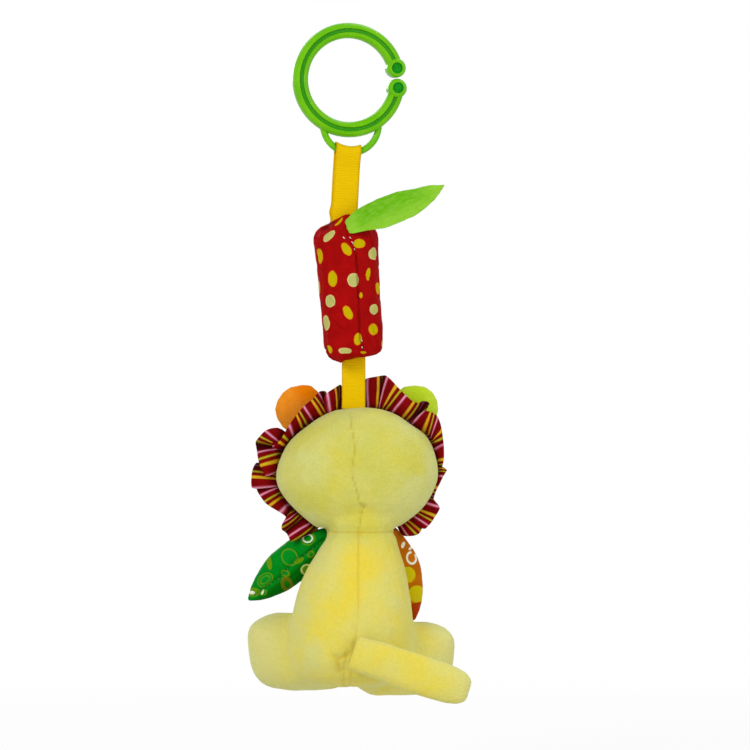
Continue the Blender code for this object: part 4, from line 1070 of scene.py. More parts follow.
def mark_sleeve(sleeve):
    """Darkens the line of the closing seam, and paints shade into the hollow of the pocket."""
    seam = []
    for height, angle in SEAM_ANGLES[1:-2]:
        side = math.sin(math.radians(angle)) * SLEEVE_MEAN_R
        seam.append(sleeve_world(Vector((side, -SLEEVE_MEAN_R, height * MM))))
    away, _ = to_path(corners(sleeve), onto(sleeve, smooth_path(seam, 60), AWAY))
    put_mark(sleeve, "seam", np.exp(-((away / 0.0006) ** 2)))
    # Painted shade in the hollow of the pocket.
    hollow, _ = to_path(corners(sleeve), onto(sleeve, [spot(*pixel) for pixel in POCKET], AWAY))
    put_mark(sleeve, "seam", 1.5 * np.exp(-((hollow / 0.0016) ** 2)))


def make_sleeve(material):
    levels = sleeve_levels()
    falling = [-row[0] for row in levels]
    top, foot = levels[0][0], levels[-1][0]
    rings, flats = [], []
    for step in range(SLEEVE_ROWS + 1):
        height = top + (foot - top) * (1 - math.cos(math.pi * step / SLEEVE_ROWS)) / 2
        wide, deep = (float(np.interp(-height, falling, [row[which] for row in levels])) for which in (1, 2))
        ring, flat = sleeve_ring(height, wide, deep)
        rings.append(ring)
        flats.append(flat)
    points, faces = skinned(rings)
    uvs = sleeve_uvs(faces, flats)
    sleeve = made("sleeve_cloth_tube", points, faces, material, "sleeve", "sleeve_cloth", uvs)
    mark_sleeve(sleeve)
    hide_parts("sleeve_cover", "sleeve_top", "sleeve_base")
    return sleeve


def make_sleeve_stitches(sleeve, material):
    """White hand stitches at both ends of the closing seam."""
    runs = [(spot(*start), spot(*end)) for start, end in SLEEVE_STITCHES]
    stitches("sleeve_stitches", sleeve, runs, 0.00024, 0.0004, material, "sleeve", "sleeve_cloth")


def make_padding(sleeve, material):
    """The wadding round the chime, kept inside the sleeve's cloth."""
    padding = remeshed("sleeve_padding", ["sleeve_wadding"], 0.0009, -0.0002, 1)
    crumple(padding, 0.004, 0.0003)
    cover = BVHTree.FromObject(sleeve, bpy.context.evaluated_depsgraph_get())
    places = corners(padding)
    for index, place in enumerate(places):
        point, normal, _, _ = cover.find_nearest(place)
        inside = (point - Vector(place)).dot(normal)
        if inside < PADDING_GAP:
            places[index] += np.array(normal) * (inside - PADDING_GAP)
    put_corners(padding, places)
    dressed(padding, material, "sleeve")
    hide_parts("sleeve_wadding")


# Leaf

LEAF_ROOT = Vector(JOINTS["leaf_flex"]["pos_m"])
LEAF_RISE = math.radians(23.5)
LEAF_REACH = math.radians(7.0)
LEAF_ALONG = Vector((math.cos(LEAF_RISE), -math.sin(LEAF_REACH), math.sin(LEAF_RISE))).normalized()
LEAF_UP = (UP - LEAF_ALONG * LEAF_ALONG.z).normalized()
LEAF_LENGTH = 0.060
LEAF_SAG = 0.0022


def make_leaf(material):
    """The leaf's cloth, smoothed over its solid and let down a little along its length."""
    leaf = welded("leaf_cloth_form", ["leaf"], squared=True)
    modified(leaf, "SUBSURF", levels=3, render_levels=3)
    applied(leaf)
    places = corners(leaf)
    along = np.clip((places - np.array(LEAF_ROOT)) @ np.array(LEAF_ALONG) / LEAF_LENGTH, 0, 1)
    sag = np.sin(np.pi * np.clip((along - 0.16) / 0.84, 0, 1) ** 1.3) ** 0.8
    put_corners(leaf, places - np.array(UP) * (LEAF_SAG * sag)[:, None])
    crumple(leaf, 0.012, 0.0009, 3.0)
    crumple(leaf, 0.0035, 0.0003, 7.0)
    dressed(leaf, material, "leaf")
    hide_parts("leaf")


# Lion

HEAD_SEAM = ((350, 412), (352, 428), (355, 448), (353, 462), (352.5, 474), (357, 490), (360, 502), (364, 506))
HEAD_SEAM_LOW = ((364, 506), (361.5, 513), (360, 522), (359, 532))
BODY_SEAM = ((359, 530), (358.6, 548), (358.4, 575), (358.2, 600), (357.4, 625), (355, 642), (352, 656), (350, 690))
# Creases: pixels along each, how deep it is drawn in, its reach, and the width of the painted shade marked along it.
CREASES = (
    (((333, 651), (339, 653.5), (345, 652.5), (349.5, 649)), 0.0007, 0.0013, 0.0004),
    (((347, 651), (345, 660), (344, 672), (343.5, 684)), 0.0008, 0.0013, 0.0005),
    (((337.5, 657), (338.5, 661), (340, 667)), 0.0015, 0.0026, 0.0014),
)
LION_MIDDLE_PIXEL = 360
LION_VOXEL = 0.0040
LION_CAP = 0.0012
NECK_SEAM_PIXEL = 530.5
NECK_SEARCH = 0.2
NECK_POINTS = 72
FILLET = 0.0030
HIP_PIXELS = (((296, 640), (300, 668)), ((413, 652), (410, 668)))
HIP_REACH = 0.014
HIP_ROUNDS = 90
# Where the cloth stands out further than the solids: pixel, how far, which way and over what reach
OUTLINE_PULLS = (
    ((256, 634), 0.0038, (-0.72, 0, 0.70), 0.0085),
    ((276, 612), 0.0014, (-0.1, 0, 1.0), 0.0085),
    ((450, 640), 0.0026, (0.75, 0, 0.66), 0.0085),
    ((366, 408), 0.0013, (0, 0, 1.0), 0.0100),
    ((398, 414), 0.0017, (0.4, 0, 0.92), 0.0095),
    ((424, 434), 0.0017, (0.72, 0, 0.70), 0.0090),
    ((276, 480), 0.0011, (-1.0, 0, 0), 0.0120),
    ((327, 533), 0.0014, (1.0, 0, 0), 0.0060),
)


def blended_hips(piece):
    """Evens the surface out where the legs run into the body."""
    places = corners(piece)
    group = piece.vertex_groups.new(name="hips")
    away = np.full(len(places), BEYOND)
    for first, last in HIP_PIXELS:
        line = np.array(spot(*first)), np.array(spot(*last))
        step = line[1] - line[0]
        flat = places * (1, 0, 1)
        share = np.clip((flat - line[0]) @ step / (step @ step), 0, 1)
        away = np.minimum(away, np.linalg.norm(flat - line[0] - share[:, None] * step, axis=1))
    weights = np.exp(-((away / HIP_REACH) ** 2))
    for index in np.nonzero(weights > 0.02)[0]:
        group.add([int(index)], float(weights[index]), "REPLACE")
    modified(piece, "SMOOTH", vertex_group="hips", factor=0.6, iterations=HIP_ROUNDS)
    applied(piece)
    piece.vertex_groups.clear()


def pulled(piece, pixel, far, direction, reach):
    """Draws the form out round a pixel of its outline."""
    places = corners(piece)
    away = np.linalg.norm((places - np.array(spot(*pixel))) * (1, 0.45, 1), axis=1)
    put_corners(piece, places + np.array(direction) * far * np.exp(-((away / reach) ** 2))[:, None])


def back_path(piece, pixels, count):
    """A smooth line through these pixels, on the piece's back."""
    return onto(piece, smooth_path([spot(*pixel) for pixel in pixels], count), AWAY)


def neck_ring(piece):
    """The seam round the neck, found from all sides."""
    low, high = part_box("body")
    centre = Vector(((low.x + high.x) / 2, (low.y + high.y) / 2, spot(0, NECK_SEAM_PIXEL).z))
    found, tree = [], surface_of(piece)
    for step in range(NECK_POINTS + 1):
        turn = math.tau * step / NECK_POINTS
        outward = Vector((math.cos(turn), math.sin(turn), 0))
        found += onto(piece, [centre + outward * NECK_SEARCH], -outward, NECK_SEARCH, tree)
    return found


def make_lion(material):
    """Head, body and legs: stuffed pieces sewn to each other at the neck and hips."""
    nodes = ["head_back", "head_front", "body", "leg_left", "leg_right"]
    lion = remeshed("lion_stuffed", nodes, 0.0010, 0.0003, 6, FILLET)
    blended_hips(lion)
    for pull in OUTLINE_PULLS:
        pulled(lion, *pull)
    seams = [neck_ring(lion), back_path(lion, HEAD_SEAM, 40), back_path(lion, BODY_SEAM, 60)]
    stuffed(lion, LION_VOXEL, LION_CAP, seams)
    crumple(lion, 0.024, 0.0009, 1.0)
    crumple(lion, 0.009, 0.00025, 4.0)
    press(lion, neck_ring(lion), 0.0016, 0.0026, 0.0004, 0.00016, 0.009)
    press(lion, back_path(lion, HEAD_SEAM, 60), 0.0005, 0.0015, 0.00040, 0.00016, 0.0085)
    press(lion, back_path(lion, HEAD_SEAM_LOW, 24), 0.0006, 0.0015, 0.00040)
    press(lion, back_path(lion, BODY_SEAM, 90), 0.0005, 0.0014, 0.00040, 0.00012, 0.011)
    # The creases' marks are painted shade.
    for pixels, depth, reach, mark in CREASES:
        press(lion, back_path(lion, pixels, 24), depth, reach, mark)
    dressed(lion, material, "lion")
    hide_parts(*nodes)
    return lion


def make_tail(material):
    tail = remeshed("tail_plush", ["tail"], 0.0007, 0.0008, 34)
    stuffed(tail, SMALL_VOXEL, 0.0009)
    crumple(tail, 0.014, 0.0008, 2.0)
    dressed(tail, material, "tail")
    # Marks the tail, which is kept out of the painted side sheen of the lion's plush.
    put_mark(tail, "tail", np.ones(len(tail.data.vertices)))
    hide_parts("tail")


EAR_PULLS = {
    "left": (((311, 386), 0.0020, (0.5, 0, 0.87), 0.0075), ((276, 412), 0.0016, (-1.0, 0, 0.1), 0.0080)),
    "right": (((404, 388), 0.0010, (-1.0, 0, 0.1), 0.0060),),
}


def make_ear(side, material):
    node = f"ear_{side}"
    ear = remeshed(f"{node}_stuffed", [node], 0.0007, 0.0003, 6)
    for pull in EAR_PULLS[side]:
        pulled(ear, *pull)
    stuffed(ear, SMALL_VOXEL, SMALL_CAP)
    crumple(ear, 0.012, 0.0006, 5.0)
    dressed(ear, material, node)
    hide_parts(node)


def make_muzzle(material):
    muzzle = remeshed("muzzle_stuffed", ["muzzle"], 0.0006, 0.0002, 4)
    low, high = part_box("muzzle")
    middle = (low.x + high.x) / 2
    groove = [Vector((middle, 0, high.z - (high.z - low.z) * share)) for share in (0.25, 0.4, 0.6, 0.8, 0.95)]
    press(muzzle, onto(muzzle, groove, TOWARDS), 0.0011, 0.0016, 0.0004)
    dressed(muzzle, material, "lion")
    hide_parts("muzzle")
    return muzzle


def make_nose(material):
    nose = remeshed("nose_satin", ["nose"], 0.0004, 0.0001, 3)
    dressed(nose, material, "lion")
    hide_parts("nose")


EYE_SPREAD = 0.0185
EYE_DROP = 0.0290
EYE_HALF = (0.0026, 0.0034)
EYE_RISE = 0.0009


def make_eyes(head, material):
    """Two small ovals of satin stitch, raised over padding."""
    low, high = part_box("head_front")
    middle = (low.x + high.x) / 2
    tree = surface_of(head)
    for name, side in (("eye_left", -1), ("eye_right", 1)):
        centre = Vector((middle + side * EYE_SPREAD, 0, high.z - EYE_DROP))
        rings = []
        for step in range(9):
            share = 1 - step / 9
            flat = []
            for turn in range(28):
                angle = math.tau * turn / 28
                flat.append(centre + Vector((EYE_HALF[0] * math.cos(angle), 0, EYE_HALF[1] * math.sin(angle))) * share)
            rise = EYE_RISE * math.sqrt(1 - share**2) + 0.00005
            rings.append([point + AWAY * rise for point in onto(head, flat, TOWARDS, 1.0, tree)])
        points, faces = skinned(rings)
        made(name, points, faces[:-2] + faces[-1:], material, "lion", "nose_cloth")


def make_mouth(muzzle, material):
    """An embroidered line down from the nose and out to both sides."""
    low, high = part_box("muzzle")
    middle, height = (low.x + high.x) / 2, high.z - low.z
    start, between_them, foot = (Vector((middle, 0, high.z - height * share)) for share in (0.30, 0.46, 0.62))
    lines = [[start, between_them, foot]]
    for side in (-1, 1):
        lines.append([foot, foot + Vector((side * 0.0030, 0, -0.0022)), foot + Vector((side * 0.0066, 0, -0.0012))])
    paths = [[point + AWAY * 0.0001 for point in onto(muzzle, smooth_path(line, 16), TOWARDS)] for line in lines]
    made("mouth_line", *tubes(paths, 0.00042, 8), material, "lion", "nose_cloth")


# Arms

ARM_DIRECTIONS = {
    "left": Vector((-0.767, 0.212, -0.606)).normalized(),
    "right": Vector((0.225, 0.400, -0.888)).normalized(),
}
ARM_SEAM = ((323.7, 540), (314, 547.5), (305, 554.8), (292.2, 562.9), (280.2, 576.9), (266.8, 587), (253.4, 597))
OLIVE = colour(100, 146, 10)
BROWN_OLIVE = colour(106, 112, 14)
WHITE_INK = colour(232, 236, 210)
CREAM_INK = colour(206, 216, 132)
YELLOW_INK = colour(206, 188, 12)
# Marks: millimetres along and across the arm, half sizes, tilt, ink, share of the hole and its ink
ARM_LEFT_MARKS = (
    (7.0, -5.8, 4.3, 3.9, 30, OLIVE, 0.86, None),
    (7.0, -5.8, 3.2, 2.5, 30, WHITE_INK, 0.68, None),
    (21.8, -3.8, 4.6, 5.1, 0, OLIVE, 0.86, None),
    (18.7, 0.8, 3.0, 1.6, 10, OLIVE, 0.0, None),
    (33.1, -8.5, 1.5, 4.1, 30, OLIVE, 0.0, None),
    (41.1, -2.3, 5.2, 3.4, 0, OLIVE, 0.88, None),
    (41.1, -2.3, 3.4, 2.0, 0, OLIVE, 0.80, None),
    (32.8, 7.4, 3.4, 4.9, 20, BROWN_OLIVE, 0.48, colour(20, 120, 14)),
    (18.7, 7.4, 3.4, 3.0, 0, CREAM_INK, 0.70, OLIVE),
    (11.1, 2.2, 2.3, 1.9, 0, OLIVE, 0.55, None),
    (51.0, -0.7, 3.6, 2.6, 30, OLIVE, 0.0, None),
    (52.0, -1.2, 1.9, 1.0, 40, WHITE_INK, 0.0, None),
    (46.5, 2.6, 2.3, 1.9, 30, OLIVE, 0.72, None),
    (46.8, 2.4, 1.5, 0.6, -30, WHITE_INK, 0.0, None),
    (29.4, 1.8, 1.9, 2.6, -30, OLIVE, 0.62, None),
)
ARM_RIGHT_MARKS = (
    (15.6, 7.4, 4.2, 3.0, 0, WHITE_INK, 0.66, None),
    (12.2, 9.6, 2.0, 1.4, 20, colour(190, 104, 4), 0.0, None),
    (6.5, 4.6, 2.0, 1.0, 30, WHITE_INK, 0.0, None),
    (9.6, 8.4, 1.6, 0.8, 60, WHITE_INK, 0.0, None),
    (25.0, 3.0, 5.0, 4.3, 0, YELLOW_INK, 0.0, None),
    (38.2, 5.2, 5.4, 4.8, 0, YELLOW_INK, 0.0, None),
    (52.0, 4.0, 8.6, 12.0, 0, colour(176, 62, 2), 0.0, None),
)
ARM_MARKS = {"left": ARM_LEFT_MARKS, "right": ARM_RIGHT_MARKS}
# Where each arm's root and tip end up beside their solid, in millimetres across, away and up
ARM_SHIFTS = {"left": ((2.2, 0.0, 3.6), (-0.6, 0.3, -1.8)), "right": ((-1.0, 0.0, 3.7), (-0.4, 0.0, 0.8))}


def settled(arm, root, direction, shifts):
    """Moves the root up into its seam and lets the tip down, with everything between in step."""
    places = corners(arm)
    along = (places - np.array(root)) @ np.array(direction)
    share = np.clip(along / along.max(), 0, 1)[:, None]
    first, last = (np.array(shift) * MM for shift in shifts)
    put_corners(arm, places + first * (1 - share) + last * share)


def make_arm(side, seed, material):
    """One flat stuffed arm, set into its seam."""
    node = f"arm_{side}"
    arm = remeshed(f"{node}_stuffed", [node], 0.0006, 0.0002, 4)
    settled(arm, JOINTS[f"{node}_lift"]["pos_m"], ARM_DIRECTIONS[side], ARM_SHIFTS[side])
    stuffed(arm, SMALL_VOXEL, SMALL_CAP)
    crumple(arm, 0.010, 0.0005, seed)
    dressed(arm, material, node)
    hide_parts(node)
    return arm


def sew_left_arm(arm, thread):
    """The seam along the left arm's turned edge, with its stitches."""
    seam = back_path(arm, ARM_SEAM, 60)
    press(arm, seam, 0.0009, 0.0012, 0.0004, 0.00025, 0.0042)
    runs = []
    for index in range(3, len(seam) - 2, 3):
        along = (seam[index + 1] - seam[index - 1]).normalized()
        size = 0.0011 if index % 2 else 0.0006
        runs.append((seam[index] - along * size / 2, seam[index] + along * size / 2))
    stitches("arm_left_stitches", arm, runs, 0.00011, 0.0002, thread, "arm_left", "arm_left_cloth")


# Mane

MANE_STEPS = 12
MANE_ROUNDINGS = 2
MANE_HALF_THICK = 0.0007
MANE_ROOT = 0.0034
MANE_SEAM_DEPTH = 0.0017
MANE_ROOT_SHARE = 0.12
# The gathered strip fold by fold: pixel on the head's seam, pixel on the outer edge, how far behind the seam
# that edge lies in millimetres, and how many repeats of the print come before it
MANE_FOLDS = (
    (317, 530, 309.5, 531.5, 3.0, 0.0),
    (313.5, 528.8, 297, 540, 1.5, 0.15),
    (311.5, 527.5, 290.5, 542, -3.0, 0.30),
    (309, 525, 288.8, 536.7, -3.5, 0.68),
    (304.5, 521, 287.3, 534.3, -0.6, 0.85),
    (301.5, 518.5, 285, 532, 2.4, 1.0),
    (299, 517, 282, 530, -1.5, 1.20),
    (297.5, 516, 281.2, 527, -2.8, 1.32),
    (295, 514.7, 283, 522, -3.5, 1.68),
    (292.5, 513, 286, 517.8, -2.5, 1.95),
    (290, 511.5, 286.5, 518.5, 2.5, 2.35),
    (288, 510, 285.5, 516, -0.5, 2.55),
    (285.5, 506, 279.5, 511.8, -2.5, 2.68),
    (279.5, 497.8, 268.8, 505.8, -3.2, 3.06),
    (277.5, 493.5, 264.3, 501.6, -3.2, 3.32),
    (276.3, 488, 260.2, 495.9, -2.5, 3.68),
    (276, 486.5, 256.5, 490, -0.5, 3.95),
    (276.3, 484.5, 257, 486, 1.5, 4.30),
    (276.2, 486.8, 252.4, 488.8, -4.8, 4.66),
    (276.4, 483, 251.2, 484, -4.6, 4.82),
    (276.5, 479, 251.6, 476.5, -3.5, 5.06),
    (276.6, 475, 252, 471.3, -1.0, 5.32),
    (276.8, 471, 253.8, 465.5, 2.5, 5.65),
    (277, 467.5, 257, 461.8, 4.0, 6.0),
    (277, 470, 259.5, 466, 0.5, 6.35),
    (277.3, 470.8, 267, 477.6, -5.8, 6.66),
    (277.5, 470, 262.8, 471.5, -5.8, 6.84),
    (278, 460, 260.2, 465.3, -5.0, 7.06),
    (278.5, 452.5, 258.2, 459.3, -4.5, 7.32),
    (279, 449.5, 257.3, 453, -2.0, 7.68),
    (279.3, 447.5, 256.4, 448.5, 1.8, 7.88),
    (279.5, 446.3, 255.2, 442.6, 2.6, 8.0),
    (280, 446, 256.4, 440.3, -0.5, 8.06),
    (280.5, 445.6, 260, 435.9, -3.0, 8.32),
    (281.5, 445, 264.8, 430.8, -3.4, 8.68),
    (282.5, 440, 270.2, 428.3, -2.2, 8.86),
    (283.5, 431, 277, 427.5, 0.5, 8.95),
    (283, 431.3, 274, 430.5, 2.2, 9.0),
    (282.5, 432.2, 272.2, 435.4, 1.6, 9.08),
    (282.5, 438, 272.3, 440.8, 0.6, 9.34),
    (279.5, 449, 272.3, 447, -6.2, 9.68),
    (280.5, 447.5, 274.3, 446, -6.4, 9.84),
    (284.6, 445.2, 279.2, 441.6, -6.2, 10.06),
    (288.3, 441, 282.9, 436, -5.8, 10.32),
    (292, 436.5, 289, 425.2, -5.2, 10.68),
    (298, 430, 294, 418, -4.6, 10.88),
    (301.5, 427.3, 297, 414.6, -4.2, 11.06),
    (306, 423, 299.5, 411, -4.6, 11.32),
    (311, 418.3, 303.3, 406.6, -4.0, 11.68),
    (316.5, 416, 308.5, 402, -4.6, 11.88),
    (322, 414.8, 312, 399.8, -4.8, 12.06),
    (325.3, 412.5, 314.8, 396.8, -4.2, 12.32),
    (326.3, 411, 317.8, 392.4, -2.2, 12.68),
    (326.5, 410.5, 321, 390.8, 1.6, 12.85),
    (326.5, 411, 325.8, 391, 2.6, 13.1),
    (326, 412, 326.5, 393.5, 0.5, 13.35),
    (325.5, 413.3, 324.6, 395.6, -4.4, 13.55),
    (331, 413, 327.3, 392.4, -4.8, 13.68),
    (334.3, 412, 332.5, 389.3, -4.2, 13.9),
    (336.5, 409, 335, 387.7, -2.0, 14.06),
    (337.8, 407.5, 338.8, 385, 1.4, 14.32),
    (339.6, 406.9, 341.6, 384.4, 2.6, 14.52),
    (342, 406.4, 345, 399, 3.4, 14.75),
    (351, 405.8, 353, 400, 3.8, 15.1),
    (360.5, 406, 361.6, 399, 3.4, 15.4),
    (364.5, 406.2, 364.8, 379.4, 2.2, 15.55),
    (368.3, 406.4, 367.6, 378.0, -0.2, 15.68),
    (372.5, 405.8, 373, 377.1, -2.2, 15.88),
    (377.5, 406, 378.6, 376.1, -1.6, 16.06),
    (378.8, 406.1, 382.3, 375.5, 1.8, 16.32),
    (379.2, 406.4, 385, 375.1, 1.4, 16.5),
    (379.8, 406.5, 387.5, 376.6, -2.6, 16.68),
    (381.5, 406.6, 391.7, 380.3, -3.8, 16.88),
    (383.2, 406.7, 396.7, 385.8, -4.4, 17.06),
    (386.5, 408.3, 401, 390.6, -4.8, 17.32),
    (392.3, 411.4, 405.5, 395.1, -5.2, 17.68),
    (398, 414.6, 410, 399.2, -5.2, 17.88),
    (403.5, 417, 413.8, 402, -4.6, 18.06),
    (407.5, 418.6, 418.8, 403, -3.0, 18.32),
    (410, 419.8, 421.3, 401.7, -0.4, 18.5),
    (411.5, 421, 423.5, 400.6, 1.8, 18.68),
    (412.5, 421.8, 430.3, 402.6, 2.8, 18.95),
    (413, 422, 428, 407, 1.4, 19.2),
    (412.5, 422, 425.5, 411.5, -2.0, 19.5),
    (412.8, 422.3, 424.8, 410.4, -4.8, 19.67),
    (416.5, 425.6, 427.8, 411, -5.2, 19.86),
    (424.5, 431.5, 430.6, 411.6, -5.4, 20.06),
    (429.3, 434.4, 434.2, 413.3, -5.2, 20.32),
    (431.3, 436.8, 437.2, 415.8, -4.6, 20.68),
    (432.8, 438.6, 440.2, 422.4, -3.4, 20.88),
    (433.6, 440, 442, 430.5, -2.2, 21.06),
    (434.2, 441.8, 442.9, 438, -2.6, 21.32),
    (435.2, 448, 443.7, 443.5, 0.2, 21.66),
    (436, 451.5, 443.8, 446.5, -3.2, 21.75),
    (437, 457.5, 444.1, 455, -3.4, 21.95),
    (437.8, 461.5, 443.8, 459.5, -2.8, 22.06),
    (438.2, 464.5, 443, 464, -2.0, 22.32),
    (438.4, 467.3, 442, 467.3, 0.8, 22.68),
    (438.4, 466.8, 444, 468.3, 1.8, 22.9),
    (438.3, 469, 447.3, 469.8, -2.2, 23.06),
    (438, 471.3, 446.2, 471.6, -2.6, 23.32),
    (437.2, 475.3, 443.6, 475.5, -2.6, 23.68),
    (435.5, 481.5, 440.5, 482, -2.4, 23.9),
    (432.5, 488.5, 437.2, 488.5, -2.0, 24.06),
    (430.5, 491.8, 435.8, 491.8, -1.6, 24.32),
    (428.5, 494.7, 434.5, 495.5, 0.0, 24.68),
    (426.8, 496.5, 433.6, 499, 2.0, 25.0),
    (425.3, 498.5, 434.3, 500.3, -0.5, 25.4),
    (421.5, 501.5, 440.2, 506.8, -3.4, 25.68),
    (417, 506, 438.8, 511, -1.6, 25.88),
    (414.5, 508.8, 435, 516.4, -3.0, 26.06),
    (412.8, 510.8, 432.2, 521.2, -3.8, 26.32),
    (410.3, 513.5, 428.7, 525.2, -4.4, 26.68),
    (407.5, 516.5, 425, 529.1, -4.6, 26.88),
    (406.5, 517.5, 421.8, 527.8, 0.0, 26.98),
    (405, 519, 420.9, 531.5, -2.2, 27.06),
    (403, 521, 417, 535.1, -3.6, 27.32),
    (400.5, 523.5, 408.5, 536.2, -2.5, 27.68),
    (397.5, 527, 404, 536, 1.5, 27.95),
)
STRIPE_REPEAT = 0.0132
STRIPES = (
    (0.06, 0.062, colour(196, 142, 14), colour(208, 168, 36)),
    (0.32, 0.056, colour(158, 140, 16), colour(176, 172, 40)),
    (0.68, 0.066, colour(176, 70, 100), colour(218, 146, 172)),
)


def rounded(rows, times):
    """The rows with each corner between them cut, this many times."""
    for _ in range(times):
        softer = [rows[0]]
        for first, second in zip(rows, rows[1:]):
            softer += [first * 0.75 + second * 0.25, first * 0.25 + second * 0.75]
        rows = softer + [rows[-1]]
    return rows


def mane_rows():
    """Middle surface of the gathered strip: rows across it, from the seam to its outer fold."""
    low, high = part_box("head_back")
    centre = Vector(((low.x + high.x) / 2, 0, (low.z + high.z) / 2))
    rows, lengths, depths = [], [], []
    for near_x, near_y, far_x, far_y, depth, repeats in rounded([np.array(row) for row in MANE_FOLDS], MANE_ROUNDINGS):
        seam, edge = spot(near_x, near_y), spot(far_x, far_y)
        inward = (centre - seam).normalized() * MANE_ROOT
        row = [seam + inward + AWAY * MANE_SEAM_DEPTH]
        for step in range(MANE_STEPS + 1):
            share = step / MANE_STEPS
            lean = MANE_ROOT_SHARE + (1 - MANE_ROOT_SHARE) * (1 - (1 - share) ** 2)
            point = seam.lerp(edge, share) + AWAY * (MANE_SEAM_DEPTH * (1 - lean) + depth * MM * lean)
            soft = math.sin(math.pi * min(1, share * 1.2)) if share < 0.83 else 0
            point += AWAY * (0.0007 * soft * noise.noise(point / 0.006))
            row.append(point)
        rows.append(row)
        lengths.append(repeats * STRIPE_REPEAT)
        depths.append(depth)
    return rows, lengths, depths


def make_mane(material):
    """The gathered strip: a thin puffed cloth over its rows, marked with painted shade where its folds lie deep and
    along its root.
    """
    rows, lengths, depths = mane_rows()
    rings, flats, painted_fold_shade = [], [], []
    last = len(rows) - 1
    for index, row in enumerate(rows):
        ahead, behind = rows[min(index + 1, last)], rows[max(index - 1, 0)]
        front, back, flat, hollow = [], [], [], []
        height = (row[-1] - row[0]).length
        for place, point in enumerate(row):
            share = place / (len(row) - 1)
            along = ahead[place] - behind[place]
            across = row[min(place + 1, len(row) - 1)] - row[max(place - 1, 0)]
            normal = along.cross(across)
            normal = normal.normalized() if normal.length > 0 else TOWARDS
            puff = MANE_HALF_THICK * math.sqrt(max(0.0, 1 - share**8)) * (0.7 + 0.3 * math.sin(math.pi * share))
            front.append(point + normal * (puff + 0.00004))
            back.append(point - normal * (puff + 0.00004))
            flat.append((lengths[index], height * share))
            # Painted shade: darker where the fold lies deep and near the root by the seam.
            deep = min(max((depths[index] + 2.4) / 4.2, 0), 1)
            hollow.append(max(deep * deep * (3 - 2 * deep), 1 - share * 5))
        rings.append(front + back[::-1])
        flats.append(flat + flat[::-1])
        painted_fold_shade += hollow + hollow[::-1]
    points, faces = skinned(rings)
    uvs = unrolled(faces, flats)
    mane = made("mane_gathered", points, faces, material, "lion", "mane_cloth", uvs)
    put_mark(mane, "seam", np.array(painted_fold_shade))
    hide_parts("mane")


# Chime


def dress_chime():
    case = moulded_material("case_moulded", colour(226, 226, 222), colour(238, 238, 234), 0.45)
    steel = metal_material("rod_drawn", colour(176, 180, 184), colour(206, 208, 212), 0.25)
    brass = metal_material("striker_turned", colour(196, 160, 84), colour(222, 190, 112), 0.28)
    finishes = {"chime_case": case, "chime_cap": case, "chime_plate": case, "striker": brass}
    finishes.update({f"chime_rod_{index}": steel for index in range(1, 5)})
    for name, finish in finishes.items():
        coated(frame["nodes"][name], finish)


# Stage


def stage_material():
    """White to the camera, and a plain pale surface to everything else, with the shadow kept."""
    net = Net("floor_white", roughness=0.9, specular=0.1)
    net.shader.inputs["Base Color"].default_value = (0.8, 0.8, 0.8, 1)
    tree = net.tree
    path = tree.nodes.new("ShaderNodeLightPath")
    white = tree.nodes.new("ShaderNodeEmission")
    white.inputs["Strength"].default_value = 1.0
    blend = tree.nodes.new("ShaderNodeMixShader")
    out = next(node for node in tree.nodes if node.type == "OUTPUT_MATERIAL")
    seen = net.most(path.outputs["Is Camera Ray"], path.outputs["Is Glossy Ray"])
    share = net.ramp(net.length(net.place()), SHADOW_REACH, SHADOW_REACH * 2, SHADOW_LEVEL, 1.0)
    tree.links.new(net.times(seen, share), blend.inputs[0])
    tree.links.new(net.shader.outputs[0], blend.inputs[1])
    tree.links.new(white.outputs[0], blend.inputs[2])
    tree.links.new(blend.outputs[0], out.inputs["Surface"])
    return net.material


def make_stage():
    """A flat floor under the object."""
    low = CAD_BOX[0].z - FLOOR_DROP
    points = [(side * STAGE_HALF, deep * STAGE_HALF, low) for side, deep in ((-1, -1), (1, -1), (1, 1), (-1, 1))]
    mesh = bpy.data.meshes.new("floor")
    mesh.from_pydata(points, [], [(0, 1, 2, 3)])
    mesh.materials.append(stage_material())
    placed("floor", mesh)


def lamp(name, place, aim, size, watts):
    light = bpy.data.lights.new(name, "AREA")
    light.shape = "DISK"
    light.size = size
    light.energy = watts
    thing = placed(name, light)
    thing.location = place
    thing.rotation_mode = "QUATERNION"
    thing.rotation_quaternion = (aim - place).to_track_quat("-Z", "Y")


def make_light():
    aim = spot(*CAMERA_PIXEL)
    for name, (place, size, watts) in LAMPS.items():
        lamp(name, aim + Vector(place), aim, size, watts)
    make_world()
    bpy.context.scene.view_settings.view_transform = "Standard"


def make_world():
    """White where it is seen, mirrored or looked at through something; dimmer as light."""
    world = bpy.data.worlds.new("studio")
    bpy.context.scene.world = world
    world.use_nodes = True
    tree = world.node_tree
    background = tree.nodes["Background"]
    background.inputs["Color"].default_value = (1, 1, 1, 1)
    path = tree.nodes.new("ShaderNodeLightPath")
    seen = path.outputs["Is Camera Ray"]
    for kind in ("Is Glossy Ray", "Is Transmission Ray"):
        either = tree.nodes.new("ShaderNodeMath")
        either.operation = "MAXIMUM"
        tree.links.new(seen, either.inputs[0])
        tree.links.new(path.outputs[kind], either.inputs[1])
        seen = either.outputs[0]
    level = tree.nodes.new("ShaderNodeMath")
    level.operation = "MULTIPLY_ADD"
    tree.links.new(seen, level.inputs[0])
    level.inputs[1].default_value = 1 - WORLD_LEVEL
    level.inputs[2].default_value = WORLD_LEVEL
    tree.links.new(level.outputs[0], background.inputs["Strength"])


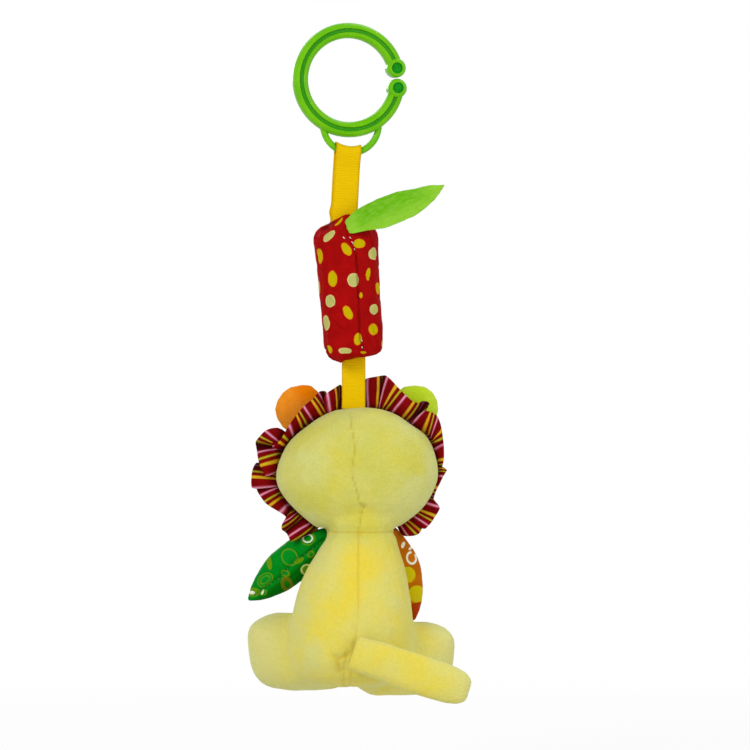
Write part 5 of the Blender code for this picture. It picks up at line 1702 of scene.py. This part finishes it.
def make_camera():
    data = bpy.data.cameras.new("camera")
    data.sensor_width = SENSOR * 1000
    data.lens = SENSOR * 1000 * CAMERA_AWAY / CAMERA_SPAN
    camera = placed("camera", data)
    camera.location = spot(*CAMERA_PIXEL, -CAMERA_AWAY)
    camera.rotation_euler = (math.pi / 2, 0, 0)
    bpy.context.scene.camera = camera


def dress_lion():
    yellow = lion_material()
    lion = make_lion(yellow)
    make_tail(yellow)
    orange = plush("ear_orange", colour(226, 120, 0), colour(238, 140, 6), colour(242, 176, 70), colour(196, 92, 0))
    lime = plush("ear_lime", colour(176, 204, 34), colour(190, 214, 52), colour(206, 228, 110), colour(130, 172, 18))
    make_ear("left", orange)
    make_ear("right", lime)
    creams = (colour(238, 230, 196), colour(244, 236, 204), colour(248, 244, 224), colour(206, 190, 140))
    muzzle = make_muzzle(plush("muzzle_cream", *creams))
    make_nose(satin_material("nose_brown", colour(88, 44, 26), colour(128, 70, 44)))
    make_eyes(lion, satin_material("eye_dark", colour(26, 18, 16), colour(62, 46, 42)))
    make_mouth(muzzle, thread_material("thread_dark", colour(58, 30, 20), colour(86, 50, 34)))


def dress_arms():
    # The green arm's ground tones, and where across it the painted shade of its lower panel starts and is full.
    ground, low = (colour(0, 128, 24), colour(4, 138, 32)), (0.0012, 0.0052)
    green = printed_arm_material("arm_green_print", "left", ground, low, colour(4, 110, 14), colour(0, 84, 10))
    arm = make_arm("left", 6.0, green)
    sew_left_arm(arm, thread_material("thread_green", colour(96, 158, 84), colour(140, 190, 124)))
    # The orange arm's ground tones; its painted shade would start beyond the arm, so none shows.
    ground, low = (colour(184, 100, 2), colour(196, 108, 6)), (0.2, 0.3)
    orange = printed_arm_material("arm_orange_print", "right", ground, low, colour(170, 60, 2), colour(130, 56, 0))
    make_arm("right", 8.0, orange)


def main():
    make_camera()
    make_stage()
    make_light()
    dress_ring()
    dress_chime()
    ribbon = ribbon_material()
    make_upper_ribbon(ribbon)
    sleeve = make_sleeve(sleeve_material())
    make_lower_ribbon(ribbon)
    make_sleeve_stitches(sleeve, thread_material("thread_white", colour(222, 220, 216), colour(246, 246, 244)))
    make_padding(sleeve, wadding_material())
    make_leaf(leaf_material())
    dress_lion()
    dress_arms()
    make_mane(mane_material())


main()
